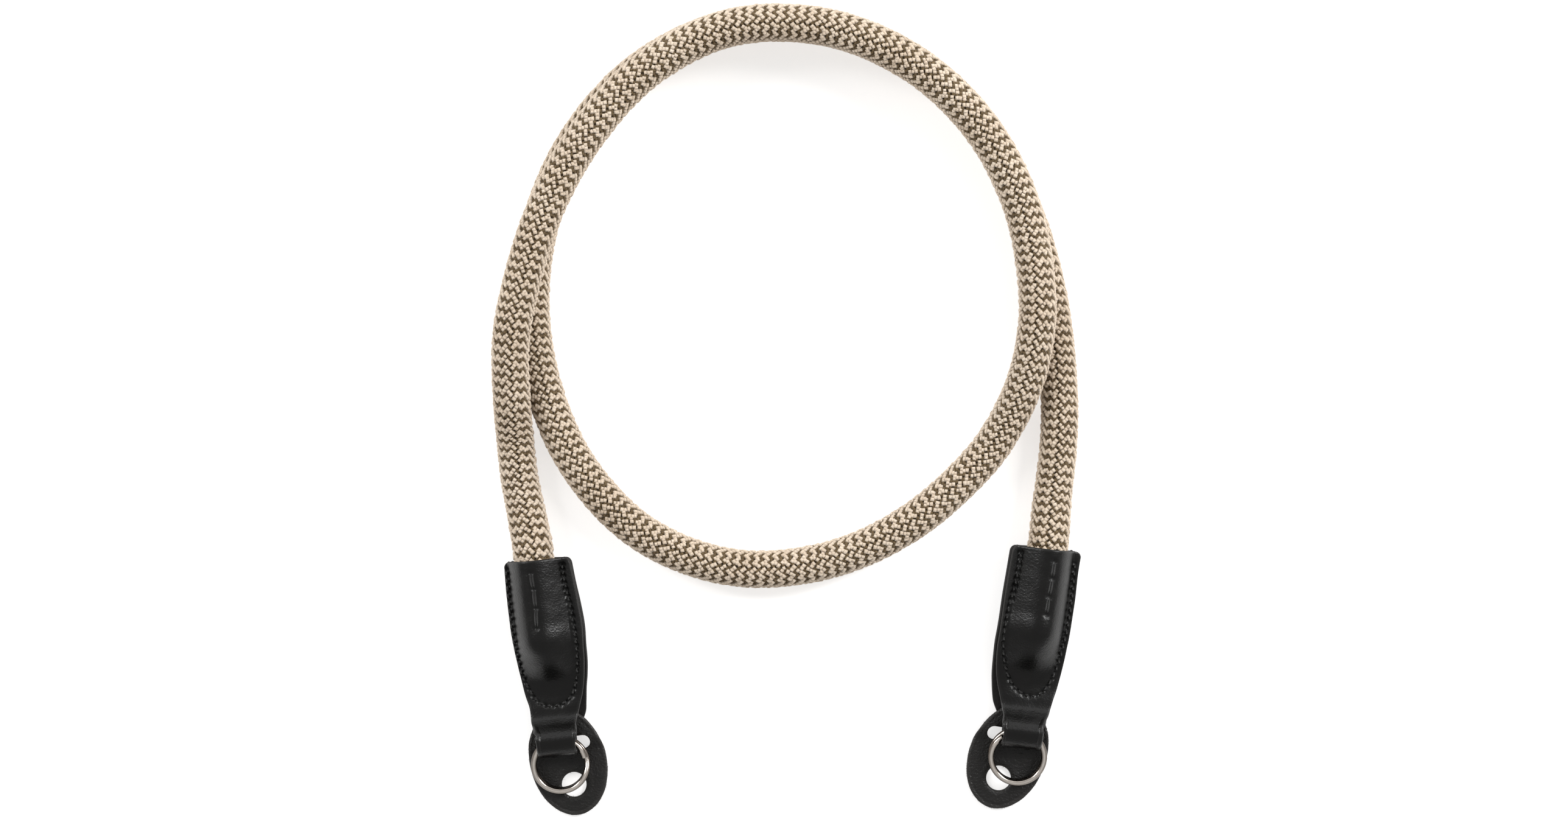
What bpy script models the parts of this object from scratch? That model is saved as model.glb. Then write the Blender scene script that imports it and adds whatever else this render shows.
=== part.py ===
"""Camera neck strap of braided rope, lying in two loops.

Metres, +Z up, +Y towards the closed end of the loops. The rope lies on z = 0.
Each end of the rope is sewn into a leather end: one strip of leather, folded
round a split ring, with a sewn pocket for the rope. The same fold also holds
an oval leather guard flap by a slot, so that it lies under the ring.

Rope          one braided rope, two loops, the first lying on the second
Leather end   one folded strip: front layer, fold, back layer, rope pocket
Guard flap    oval leather disc with a slot and a lug hole
Split ring    wire wound twice, hinged in the fold of the leather end
"""

import math

import bmesh
import bpy
import numpy as np
from mathutils import Matrix, Vector

MM = 0.001

# ---------------------------------------------------------------- dimensions
ROPE_DIAMETER = 9.7 * MM
ROPE_SIDES_RESOLUTION = 4  # bevel resolution: 12 sides
ROPE_POINTS = 80
ROPE_IN_POCKET = 20.5 * MM  # how far the rope reaches into each leather end

LEATHER = 1.35 * MM  # thickness of the strip that makes each leather end
LAYER_HALF_GAP = 0.85 * MM  # middle plane to the middle of each sewn layer
POCKET_BULGE = 5.25 * MM  # how far the rope pushes each layer out
POCKET_SEAM = 7.3 * MM  # rope axis to the seam on either side
NECK_HALF_WIDTH = 4.65 * MM
EYE_RADIUS = 4.1 * MM  # fold round the ring, to the middle of the leather
EYE_LIFT = 0.04 * MM

FLAP_THICKNESS = 1.4 * MM
FLAP_LENGTH = 28.4 * MM
FLAP_WIDTH = 19.9 * MM
FLAP_RAISE = 1.85 * MM  # the strip above the slot lies on the back layer
SLOT_LENGTH = 14.0 * MM
SLOT_WIDTH = 3.6 * MM
LUG_HOLE = 6.4 * MM
LUG_HOLE_FROM_CENTRE = 6.2 * MM

RING_OUTER = 15.3 * MM
RING_WIRE = 1.3 * MM
RING_PITCH = 1.4 * MM
RING_FROM_FOLD = 4.6 * MM  # hinge axis to the outside of the fold
RING_AXIS_HEIGHT = 4.8 * MM
RING_END_GAP_DEG = 46.0  # the two wire ends stop either side of the crossover

CENTRE_SHIFT = Vector((-0.74 * MM, -0.24 * MM, 0.0))

# The rope's two loops, clockwise from the left. Angle is about the loops'
# centre, radius and height are those of the rope's axis, in millimetres.
LOOP_CENTRE = Vector((-0.7 * MM, 29.2 * MM))
COIL_COLUMNS = ("angle_deg", "radius", "height")
COIL = (
    (200, 73.8, 10.9),
    (190, 70.4, 14.0),
    (180, 67.4, 14.9),
    (160, 64.5, 14.85),
    (140, 64.9, 14.85),
    (120, 67.8, 14.85),
    (100, 70.3, 14.85),
    (80, 70.1, 14.85),
    (60, 68.7, 14.85),
    (40, 67.1, 14.85),
    (20, 65.8, 14.85),
    (0, 65.6, 14.5),
    (-10, 66.0, 13.1),
    (-20, 66.4, 9.75),
    (-30, 66.5, 6.2),
    (-40, 66.4, 4.85),
    (-60, 67.0, 4.85),
    (-80, 68.8, 4.85),
    (-100, 70.7, 4.85),
    (-120, 70.6, 4.85),
    (-140, 68.2, 4.85),
    (-160, 65.7, 4.85),
    (-180, 64.9, 4.85),
    (-200, 65.5, 4.85),
    (-220, 67.2, 4.85),
    (-240, 69.7, 4.85),
    (-260, 71.5, 4.85),
    (-280, 71.3, 4.85),
    (-300, 69.9, 4.85),
    (-320, 68.2, 4.85),
    (-340, 66.9, 4.85),
    (-360, 69.4, 4.85),
    (-380, 76.7, 4.85),
)
# The two straight runs down to the leather ends, in millimetres.
LEG_COLUMNS = ("x", "y", "height")
LEG_LEFT = (
    (-65.15, -34.0, 6.5), (-66.2, -28.9, 5.75), (-67.2, -23.8, 5.05),
    (-68.5, -17.5, 4.9), (-69.6, -6.5, 6.35),
)
LEG_RIGHT = (
    (71.0, -10.0, 4.85), (69.7, -21.0, 4.95), (69.1, -26.3, 5.7), (68.6, -31.4, 6.5),
)

# The leather end, from its mouth to the start of its fold. u is the distance
# from the mouth for an end of NOMINAL_LENGTH. shift is how far the middle line
# lies towards the raised side. Lengths are in millimetres.
NOMINAL_LENGTH = 51.0
TAB_COLUMNS = (
    "u", "lift", "half_gap", "front_half_width", "back_half_width",
    "shift", "bulge", "seam", "roll_deg",
)
TAB = (
    (0.0, 6.95, 0.85, 8.7, 8.7, 0.00, 1.00, 1.00, 14.0),
    (8.0, 6.95, 0.85, 9.1, 9.1, 0.10, 1.00, 1.00, 14.0),
    (16.0, 6.95, 0.85, 9.3, 9.5, 0.30, 1.00, 1.00, 14.0),
    (21.5, 6.95, 0.85, 9.3, 9.6, 0.50, 0.99, 1.00, 13.5),
    (26.0, 5.60, 0.85, 9.1, 9.5, 0.75, 0.68, 0.98, 12.0),
    (31.0, 3.45, 0.85, 8.4, 9.1, 0.85, 0.20, 0.85, 9.0),
    (35.0, 2.60, 0.85, 7.5, 8.6, 0.80, 0.04, 0.60, 5.0),
    (38.0, 2.44, 1.45, 6.5, 8.1, 0.75, 0.00, 0.50, 2.0),
    (40.5, 3.06, 2.30, 5.8, 7.5, 0.60, 0.00, 0.50, 0.3),
    (43.0, 4.35, 3.67, 5.2, 6.2, 0.50, 0.00, 0.50, 0.0),
)
FOLD_SHIFT = 0.5 * MM

# Where each end lies: its mouth, its direction from +X, its length, the side
# that is turned up, and its flap's centre, tilt and slot. In millimetres.
END_COLUMNS = (
    "side", "mouth_x", "mouth_y", "heading_deg", "length", "raised",
    "flap_x", "flap_y", "flap_tilt_deg", "slot_x", "slot_y", "slot_deg",
    "ring_offset", "ring_cross_deg", "rope_offset",
)
ENDS = (
    ("left", -63.7, -38.2, -84.4, 51.4, 1.0,
     -56.2, -91.1, 14.4, -57.4, -86.55, 7.5, 0.5, -5.0, 0.95),
    ("right", 67.6, -35.3, -96.8, 52.3, -1.0,
     58.2, -89.7, -22.0, 59.8, -84.4, -9.5, -0.57, 105.0, 0.55),
)


# ------------------------------------------------------------------- helpers
def clear_scene():
    for obj in list(bpy.data.objects):
        bpy.data.objects.remove(obj, do_unlink=True)


def new_collection(name):
    collection = bpy.data.collections.new(name)
    bpy.context.scene.collection.children.link(collection)
    return collection


def new_material(name, colour, roughness, metallic=0.0):
    material = bpy.data.materials.new(name)
    material.use_nodes = True
    shader = material.node_tree.nodes["Principled BSDF"]
    shader.inputs["Base Color"].default_value = (*colour, 1.0)
    shader.inputs["Roughness"].default_value = roughness
    shader.inputs["Metallic"].default_value = metallic
    return material


def add_object(name, data, collection, material, parent=None):
    obj = bpy.data.objects.new(name, data)
    collection.objects.link(obj)
    if material is not None:
        obj.data.materials.append(material)
    obj.parent = parent
    return obj


def add_empty(name, collection, parent, matrix):
    empty = bpy.data.objects.new(name, None)
    empty.empty_display_size = 0.01
    collection.objects.link(empty)
    empty.parent = parent
    empty.matrix_local = matrix
    return empty


def spline_through(points, count, floor):
    """A smooth curve through the points, read at equal steps, not below floor."""
    points = np.array(points, float)
    ends = (2 * points[0] - points[1], 2 * points[-1] - points[-2])
    padded = np.vstack([ends[0], points, ends[1]])
    dense = []
    for p0, p1, p2, p3 in zip(padded, padded[1:], padded[2:], padded[3:]):
        knots = np.concatenate(
            [[0.0], np.cumsum(np.sqrt(np.linalg.norm(np.diff([p0, p1, p2, p3], axis=0), axis=1)))]
        )
        for t in np.linspace(knots[1], knots[2], 24, endpoint=False):
            a1 = ((knots[1] - t) * p0 + (t - knots[0]) * p1) / (knots[1] - knots[0])
            a2 = ((knots[2] - t) * p1 + (t - knots[1]) * p2) / (knots[2] - knots[1])
            a3 = ((knots[3] - t) * p2 + (t - knots[2]) * p3) / (knots[3] - knots[2])
            b1 = ((knots[2] - t) * a1 + (t - knots[0]) * a2) / (knots[2] - knots[0])
            b2 = ((knots[3] - t) * a2 + (t - knots[1]) * a3) / (knots[3] - knots[1])
            dense.append(((knots[2] - t) * b1 + (t - knots[1]) * b2) / (knots[2] - knots[1]))
    dense.append(points[-1])
    dense = np.array(dense)
    run = np.concatenate([[0.0], np.cumsum(np.linalg.norm(np.diff(dense, axis=0), axis=1))])
    steps = np.linspace(0.0, run[-1], count)
    route = np.column_stack([np.interp(steps, run, dense[:, k]) for k in range(3)])
    route[:, 2] = np.maximum(route[:, 2], floor)
    return route


def tube(name, points, diameter, resolution, collection, material, parent):
    curve = bpy.data.curves.new(name, "CURVE")
    curve.dimensions = "3D"
    curve.twist_mode = "Z_UP"
    curve.bevel_depth = diameter / 2
    curve.bevel_resolution = resolution
    curve.use_fill_caps = True
    spline = curve.splines.new("POLY")
    spline.points.add(len(points) - 1)
    for point, co in zip(spline.points, points):
        point.co = (*co, 1.0)
    return add_object(name, curve, collection, material, parent)


def table_curve(table, columns, u):
    """Each column of a table at u, eased between its rows."""
    row = len(table) - 2
    while row > 0 and table[row][0] > u:
        row -= 1
    low, high = table[row], table[row + 1]
    before = table[max(row - 1, 0)]
    after = table[min(row + 2, len(table) - 1)]
    step = high[0] - low[0]
    t = min(max((u - low[0]) / step, 0.0), 1.0)
    values = {}
    for k, column in enumerate(columns):
        slope_low = (high[k] - before[k]) / max(high[0] - before[0], 1e-9) * step
        slope_high = (after[k] - low[k]) / max(after[0] - low[0], 1e-9) * step
        values[column] = (
            (2 * t**3 - 3 * t**2 + 1) * low[k]
            + (t**3 - 2 * t**2 + t) * slope_low
            + (-2 * t**3 + 3 * t**2) * high[k]
            + (t**3 - t**2) * slope_high
        )
    values["u"] = u
    return values


# --------------------------------------------------------------- leather end
def end_frame(end):
    """Local axes of a leather end: +X from its mouth to its fold, +Y across."""
    heading = math.radians(end["heading_deg"])
    along = Vector((math.cos(heading), math.sin(heading), 0.0))
    across = Vector((-math.sin(heading), math.cos(heading), 0.0))
    up = Vector((0.0, 0.0, 1.0))
    frame = Matrix((along, across, up)).transposed().to_4x4()
    frame.translation = Vector((end["mouth_x"], end["mouth_y"], 0.0)) * MM
    return frame


def strip_stations(length):
    """(values, side, turn) along the strip: front layer, fold, back layer."""
    scale = length / NOMINAL_LENGTH
    fold_start = length * MM - EYE_RADIUS - LEATHER / 2
    eye_height = EYE_RADIUS + LEATHER / 2 + EYE_LIFT
    last = dict(zip(TAB_COLUMNS, TAB[-1]))
    start = fold_start / MM / scale
    table = TAB + (
        (start, eye_height / MM, EYE_RADIUS / MM, NECK_HALF_WIDTH / MM,
         NECK_HALF_WIDTH / MM, FOLD_SHIFT / MM, 0.0, 0.5, 0.0),
    )
    us = [0.0, 5.0, 10.0, 15.0, 19.0, 22.0, 24.5, 27.0, 29.5, 32.0, 34.5,
          36.5, 38.2, 39.8, 41.4, last["u"], 44.7]
    layer = [table_curve(table, TAB_COLUMNS, u) for u in us]
    at_fold = table_curve(table, TAB_COLUMNS, start)
    stations = [(v, 1.0, None) for v in layer]
    turns = 10
    for k in range(turns + 1):
        stations.append((at_fold, None, math.pi / 2 - math.pi * k / turns))
    stations += [(v, -1.0, None) for v in reversed(layer)]
    return stations, scale, fold_start


def strip_point(station, fraction, end, scale, fold_start):
    """A point of the middle of the leather, fraction -1 to 1 across."""
    values, side, turn = station
    raised = end["raised"]
    shift = raised * values["shift"] * MM
    if turn is not None:
        return Vector((
            fold_start + EYE_RADIUS * math.cos(turn),
            shift + fraction * NECK_HALF_WIDTH,
            EYE_RADIUS + LEATHER / 2 + EYE_LIFT + EYE_RADIUS * math.sin(turn),
        ))
    v = fraction * values["front_half_width" if side > 0 else "back_half_width"] * MM
    seam = values["seam"] * POCKET_SEAM
    from_rope = v + raised * end["rope_offset"] * MM
    swell = 0.0
    if abs(from_rope) < seam:
        swell = values["bulge"] * POCKET_BULGE * math.cos(math.pi / 2 * from_rope / seam)
    w = side * (values["half_gap"] * MM + swell)
    roll = math.radians(values["roll_deg"]) * raised
    return Vector((
        values["u"] * scale * MM,
        shift + v * math.cos(roll) - w * math.sin(roll),
        values["lift"] * MM + v * math.sin(roll) + w * math.cos(roll),
    ))


ACROSS = (-1.0, -0.86, -0.74, -0.6, -0.42, -0.26, -0.09,
          0.09, 0.26, 0.42, 0.6, 0.74, 0.86, 1.0)


def leather_end(end, collection, material, parent):
    stations, scale, fold_start = strip_stations(end["length"])
    mesh = bpy.data.meshes.new("leather_end_" + end["side"])
    bm = bmesh.new()
    rows, columns = len(stations), len(ACROSS)
    bmesh.ops.create_grid(bm, x_segments=columns - 1, y_segments=rows - 1, size=1.0)
    bm.verts.ensure_lookup_table()
    for vert in bm.verts:
        column = round((vert.co.x + 1) / 2 * (columns - 1))
        row = round((vert.co.y + 1) / 2 * (rows - 1))
        vert.co = strip_point(stations[row], ACROSS[column], end, scale, fold_start)
    bmesh.ops.recalc_face_normals(bm, faces=bm.faces)
    bm.to_mesh(mesh)
    bm.free()
    mesh.shade_smooth()
    obj = add_object("leather_end_" + end["side"], mesh, collection, material, parent)
    shell = obj.modifiers.new("leather", "SOLIDIFY")
    shell.thickness = LEATHER
    shell.offset = 0.0
    shell.use_even_offset = True
    return obj


# ---------------------------------------------------------------- guard flap
def closed_spline(curve, points):
    spline = curve.splines.new("POLY")
    spline.points.add(len(points) - 1)
    for point, (x, y) in zip(spline.points, points):
        point.co = (x, y, 0.0, 1.0)
    spline.use_cyclic_u = True


def oval(length, width, count):
    return [
        (width / 2 * math.cos(2 * math.pi * k / count), length / 2 * math.sin(2 * math.pi * k / count))
        for k in range(count)
    ]


def slot_outline(centre, angle, length, width, count=10):
    """Two half circles joined by straight edges."""
    points = []
    for end, start in ((1, -math.pi / 2), (-1, math.pi / 2)):
        for k in range(count + 1):
            turn = start + math.pi * k / count
            x = end * (length - width) / 2 + width / 2 * math.cos(turn)
            y = width / 2 * math.sin(turn)
            points.append((
                centre[0] + x * math.cos(angle) - y * math.sin(angle),
                centre[1] + x * math.sin(angle) + y * math.cos(angle),
            ))
    return points


def guard_flap(end, collection, material, parent):
    """An oval disc, bent up where its slotted edge lies on the back layer."""
    name = "guard_flap_" + end["side"]
    tilt = math.radians(end["flap_tilt_deg"])
    place = Matrix.Translation(Vector((end["flap_x"], end["flap_y"], 0.0)) * MM) @ Matrix.Rotation(tilt, 4, "Z")
    slot_centre = place.inverted() @ (Vector((end["slot_x"], end["slot_y"], 0.0)) * MM)
    slot_angle = math.radians(end["slot_deg"]) - tilt

    curve = bpy.data.curves.new(name + "_outline", "CURVE")
    curve.dimensions = "2D"
    curve.fill_mode = "BOTH"
    curve.extrude = FLAP_THICKNESS / 2
    closed_spline(curve, oval(FLAP_LENGTH, FLAP_WIDTH, 56))
    closed_spline(curve, slot_outline(slot_centre, slot_angle, SLOT_LENGTH, SLOT_WIDTH))
    closed_spline(curve, [
        (LUG_HOLE / 2 * math.cos(2 * math.pi * k / 28),
         LUG_HOLE / 2 * math.sin(2 * math.pi * k / 28) - LUG_HOLE_FROM_CENTRE)
        for k in range(28)
    ])
    outline = bpy.data.objects.new(name + "_outline", curve)
    bpy.context.scene.collection.objects.link(outline)
    bpy.context.view_layer.update()
    graph = bpy.context.evaluated_depsgraph_get()
    mesh = bpy.data.meshes.new_from_object(outline.evaluated_get(graph))
    mesh.name = name
    bpy.data.objects.remove(outline, do_unlink=True)
    bpy.data.curves.remove(curve)

    bm = bmesh.new()
    bm.from_mesh(mesh)
    bmesh.ops.remove_doubles(bm, verts=bm.verts, dist=1e-6)
    bmesh.ops.transform(bm, matrix=place, verts=bm.verts)
    frame = end_frame(end)
    to_end = frame.inverted()
    bmesh.ops.transform(bm, matrix=to_end, verts=bm.verts)
    bend_start = end["length"] * MM - 4.0 * MM
    bend_end = end["length"] * MM - 0.7 * MM
    for k in range(6):
        bmesh.ops.bisect_plane(
            bm,
            geom=bm.verts[:] + bm.edges[:] + bm.faces[:],
            plane_co=(bend_start + (bend_end - bend_start) * k / 5, 0.0, 0.0),
            plane_no=(1.0, 0.0, 0.0),
            dist=1e-6,
        )
    for vert in bm.verts:
        t = min(max((bend_end - vert.co.x) / (bend_end - bend_start), 0.0), 1.0)
        vert.co.z += FLAP_THICKNESS / 2 + FLAP_RAISE * t * t * (3 - 2 * t)
    bmesh.ops.recalc_face_normals(bm, faces=bm.faces)
    bm.to_mesh(mesh)
    bm.free()
    mesh.materials.clear()
    return add_object(name, mesh, collection, material, parent)


# ---------------------------------------------------------------- split ring
def ring_points(cross_deg):
    """Two turns of wire that cross over once, seen from the hinge axis."""
    mean = (RING_OUTER - RING_WIRE) / 2
    half = RING_END_GAP_DEG / 2
    count = 50
    points = []
    for k in range(count):
        angle = half + (720 - 2 * half) * k / (count - 1)
        ramp = min(max((angle - (360 - half * 0.9)) / (half * 1.8), 0.0), 1.0)
        ramp = ramp * ramp * (3 - 2 * ramp)
        turn = math.radians(angle + cross_deg)
        points.append((
            mean + mean * math.cos(turn),
            mean * math.sin(turn),
            RING_PITCH * (0.5 - ramp),
        ))
    return points


def split_ring(end, collection, material, parent):
    """The ring's origin is on its hinge axis, across the leather end."""
    length = end["length"] * MM
    mean = (RING_OUTER - RING_WIRE) / 2
    rest_height = FLAP_THICKNESS + 0.3 * MM + (RING_PITCH + RING_WIRE) / 2
    droop = math.asin((RING_AXIS_HEIGHT - rest_height) / (2 * mean))
    hinge = add_empty(
        "ring_hinge_" + end["side"],
        collection,
        parent,
        Matrix.Translation(Vector((length - RING_FROM_FOLD, end["ring_offset"] * MM, RING_AXIS_HEIGHT))),
    )
    obj = tube(
        "split_ring_" + end["side"],
        ring_points(end["ring_cross_deg"] - end["heading_deg"]),
        RING_WIRE, 2, collection, material, hinge,
    )
    obj.rotation_euler = (0.0, droop, 0.0)
    return obj


# ----------------------------------------------------------------- neck rope
def pocket_points(end):
    """The rope's axis inside a leather end, from its end to the mouth."""
    frame = end_frame(end)
    points = []
    for u in (ROPE_IN_POCKET, ROPE_IN_POCKET * 2 / 3, ROPE_IN_POCKET / 3, 0.0):
        values = table_curve(TAB, TAB_COLUMNS, u / MM)
        roll = math.radians(values["roll_deg"])
        points.append(frame @ Vector((
            u,
            end["raised"] * (values["shift"] - end["rope_offset"] * math.cos(roll)) * MM,
            (values["lift"] - end["rope_offset"] * math.sin(roll)) * MM,
        )))
    return points


def rope_route():
    left, right = ends()
    points = pocket_points(left)
    points += [Vector(row) * MM for row in LEG_LEFT]
    for row in COIL:
        angle_deg, radius, height = row
        angle = math.radians(angle_deg)
        points.append(Vector((
            LOOP_CENTRE.x + radius * MM * math.cos(angle),
            LOOP_CENTRE.y + radius * MM * math.sin(angle),
            height * MM,
        )))
    points += [Vector(row) * MM for row in LEG_RIGHT]
    points += reversed(pocket_points(right))
    return points


def ends():
    return [dict(zip(END_COLUMNS, row)) for row in ENDS]


# ---------------------------------------------------------------------- main
def main():
    clear_scene()
    parts = new_collection("camera_neck_strap")
    rope_material = new_material("braided_rope", (0.56, 0.45, 0.33), 0.85)
    leather_material = new_material("black_leather", (0.018, 0.017, 0.016), 0.42)
    flap_material = new_material("black_flap_leather", (0.022, 0.020, 0.019), 0.55)
    metal_material = new_material("ring_metal", (0.62, 0.55, 0.50), 0.22, 1.0)

    strap = bpy.data.objects.new("strap_frame", None)
    strap.empty_display_size = 0.02
    strap.location = CENTRE_SHIFT
    parts.objects.link(strap)

    tube(
        "neck_rope", spline_through(rope_route(), ROPE_POINTS, ROPE_DIAMETER / 2),
        ROPE_DIAMETER, ROPE_SIDES_RESOLUTION, parts, rope_material, strap,
    )
    for end in ends():
        frame = add_empty("end_frame_" + end["side"], parts, strap, end_frame(end))
        leather_end(end, parts, leather_material, frame)
        guard_flap(end, parts, flap_material, frame)
        split_ring(end, parts, metal_material, frame)


main()
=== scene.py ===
"""Looks of the camera neck strap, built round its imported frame.

Metres, in the frame of the CAD. The rope's route and the shape of the leather
ends repeat part.py's tables. Everything else is made here: the rope's braid,
the sewn leather, the cut edges, the stitches and the rings.
"""

import math

import bpy
import numpy as np
from mathutils import Matrix, Vector
from mathutils.bvhtree import BVHTree
from mathutils.geometry import delaunay_2d_cdt


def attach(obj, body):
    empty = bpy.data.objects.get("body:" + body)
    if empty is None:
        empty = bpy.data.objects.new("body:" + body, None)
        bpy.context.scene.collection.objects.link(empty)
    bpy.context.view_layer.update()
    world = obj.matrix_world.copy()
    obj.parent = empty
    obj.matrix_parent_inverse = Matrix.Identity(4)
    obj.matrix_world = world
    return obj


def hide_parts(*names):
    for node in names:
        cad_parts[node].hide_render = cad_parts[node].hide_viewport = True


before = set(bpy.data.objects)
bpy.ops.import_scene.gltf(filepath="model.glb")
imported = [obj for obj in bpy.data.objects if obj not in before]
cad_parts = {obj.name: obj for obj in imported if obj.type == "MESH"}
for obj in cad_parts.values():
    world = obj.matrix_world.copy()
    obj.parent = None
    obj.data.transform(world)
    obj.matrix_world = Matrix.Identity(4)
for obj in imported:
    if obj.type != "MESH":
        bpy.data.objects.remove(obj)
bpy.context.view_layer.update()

MM = 0.001
rng = np.random.default_rng(41)

# ------------------------------------------------------- part.py's dimensions
ROPE_DIAMETER = 9.7 * MM
ROPE_IN_POCKET = 20.5 * MM
LEATHER = 1.35 * MM
POCKET_BULGE = 5.25 * MM
POCKET_SEAM = 7.3 * MM
NECK_HALF_WIDTH = 4.65 * MM
EYE_RADIUS = 4.1 * MM
EYE_LIFT = 0.04 * MM
FLAP_THICKNESS = 1.4 * MM
FLAP_LENGTH = 28.4 * MM
FLAP_WIDTH = 19.9 * MM
FLAP_RAISE = 1.85 * MM
SLOT_LENGTH = 14.0 * MM
SLOT_WIDTH = 3.6 * MM
LUG_HOLE = 6.4 * MM
LUG_HOLE_FROM_CENTRE = 6.2 * MM
RING_OUTER = 15.3 * MM
RING_WIRE = 1.3 * MM
RING_PITCH = 1.4 * MM
RING_FROM_FOLD = 4.6 * MM
RING_AXIS_HEIGHT = 4.8 * MM
RING_END_GAP_DEG = 46.0
CENTRE_SHIFT = Vector((-0.74 * MM, -0.24 * MM, 0.0))

LOOP_CENTRE = Vector((-0.7 * MM, 29.2 * MM))
COIL = (
    (200, 73.8, 10.9), (190, 70.4, 14.0), (180, 67.4, 14.9), (160, 64.5, 14.85),
    (140, 64.9, 14.85), (120, 67.8, 14.85), (100, 70.3, 14.85), (80, 70.1, 14.85),
    (60, 68.7, 14.85), (40, 67.1, 14.85), (20, 65.8, 14.85), (0, 65.6, 14.5),
    (-10, 66.0, 13.1), (-20, 66.4, 9.75), (-30, 66.5, 6.2), (-40, 66.4, 4.85),
    (-60, 67.0, 4.85), (-80, 68.8, 4.85), (-100, 70.7, 4.85), (-120, 70.6, 4.85),
    (-140, 68.2, 4.85), (-160, 65.7, 4.85), (-180, 64.9, 4.85), (-200, 65.5, 4.85),
    (-220, 67.2, 4.85), (-240, 69.7, 4.85), (-260, 71.5, 4.85), (-280, 71.3, 4.85),
    (-300, 69.9, 4.85), (-320, 68.2, 4.85), (-340, 66.9, 4.85), (-360, 69.4, 4.85),
    (-380, 76.7, 4.85),
)
LEG_LEFT = (
    (-65.15, -34.0, 6.5), (-66.2, -28.9, 5.75), (-67.2, -23.8, 5.05),
    (-68.5, -17.5, 4.9), (-69.6, -6.5, 6.35),
)
LEG_RIGHT = (
    (71.0, -10.0, 4.85), (69.7, -21.0, 4.95), (69.1, -26.3, 5.7), (68.6, -31.4, 6.5),
)

NOMINAL_LENGTH = 51.0
TAB_COLUMNS = (
    "u", "lift", "half_gap", "front_half_width", "back_half_width",
    "shift", "bulge", "seam", "roll_deg",
)
TAB = (
    (0.0, 6.95, 0.85, 8.7, 8.7, 0.00, 1.00, 1.00, 14.0),
    (8.0, 6.95, 0.85, 9.1, 9.1, 0.10, 1.00, 1.00, 14.0),
    (16.0, 6.95, 0.85, 9.3, 9.5, 0.30, 1.00, 1.00, 14.0),
    (21.5, 6.95, 0.85, 9.3, 9.6, 0.50, 0.99, 1.00, 13.5),
    (26.0, 5.60, 0.85, 9.1, 9.5, 0.75, 0.68, 0.98, 12.0),
    (31.0, 3.45, 0.85, 8.4, 9.1, 0.85, 0.20, 0.85, 9.0),
    (35.0, 2.60, 0.85, 7.5, 8.6, 0.80, 0.04, 0.60, 5.0),
    (38.0, 2.44, 1.45, 6.5, 8.1, 0.75, 0.00, 0.50, 2.0),
    (40.5, 3.06, 2.30, 5.8, 7.5, 0.60, 0.00, 0.50, 0.3),
    (43.0, 4.35, 3.67, 5.2, 6.2, 0.50, 0.00, 0.50, 0.0),
)
FOLD_SHIFT = 0.5 * MM
END_COLUMNS = (
    "side", "mouth_x", "mouth_y", "heading_deg", "length", "raised",
    "flap_x", "flap_y", "flap_tilt_deg", "slot_x", "slot_y", "slot_deg",
    "ring_offset", "ring_cross_deg", "rope_offset",
)
ENDS = (
    ("left", -63.7, -38.2, -84.4, 51.4, 1.0,
     -56.2, -91.1, 14.4, -57.4, -86.55, 7.5, 0.5, -5.0, 0.95),
    ("right", 67.6, -35.3, -96.8, 52.3, -1.0,
     58.2, -89.7, -22.0, 59.8, -84.4, -9.5, -0.57, 105.0, 0.55),
)
ENDS = [dict(zip(END_COLUMNS, row)) for row in ENDS]

# --------------------------------------------------------------------- camera
CAMERA_HEIGHT = 0.8
FRAME_PIXELS = (2576, 1352)
PIXELS_PER_METRE = 6300.0

camera_data = bpy.data.cameras.new("camera")
camera_data.sensor_fit = "HORIZONTAL"
camera_data.sensor_width = 36.0
camera_data.lens = 36.0 * CAMERA_HEIGHT * PIXELS_PER_METRE / FRAME_PIXELS[0]
camera_data.clip_start = 0.05
camera_data.clip_end = 20.0
camera = bpy.data.objects.new("camera", camera_data)
camera.location = (CENTRE_SHIFT.x, CENTRE_SHIFT.y, CAMERA_HEIGHT)
bpy.context.scene.collection.objects.link(camera)
bpy.context.scene.camera = camera


def sight(px, py):
    """From the camera through a point of the frame: a place and a direction."""
    x = (px - FRAME_PIXELS[0] / 2) / PIXELS_PER_METRE
    y = (FRAME_PIXELS[1] / 2 - py) / PIXELS_PER_METRE
    return Vector(camera.location), Vector((x, y, -CAMERA_HEIGHT)).normalized()


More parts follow.
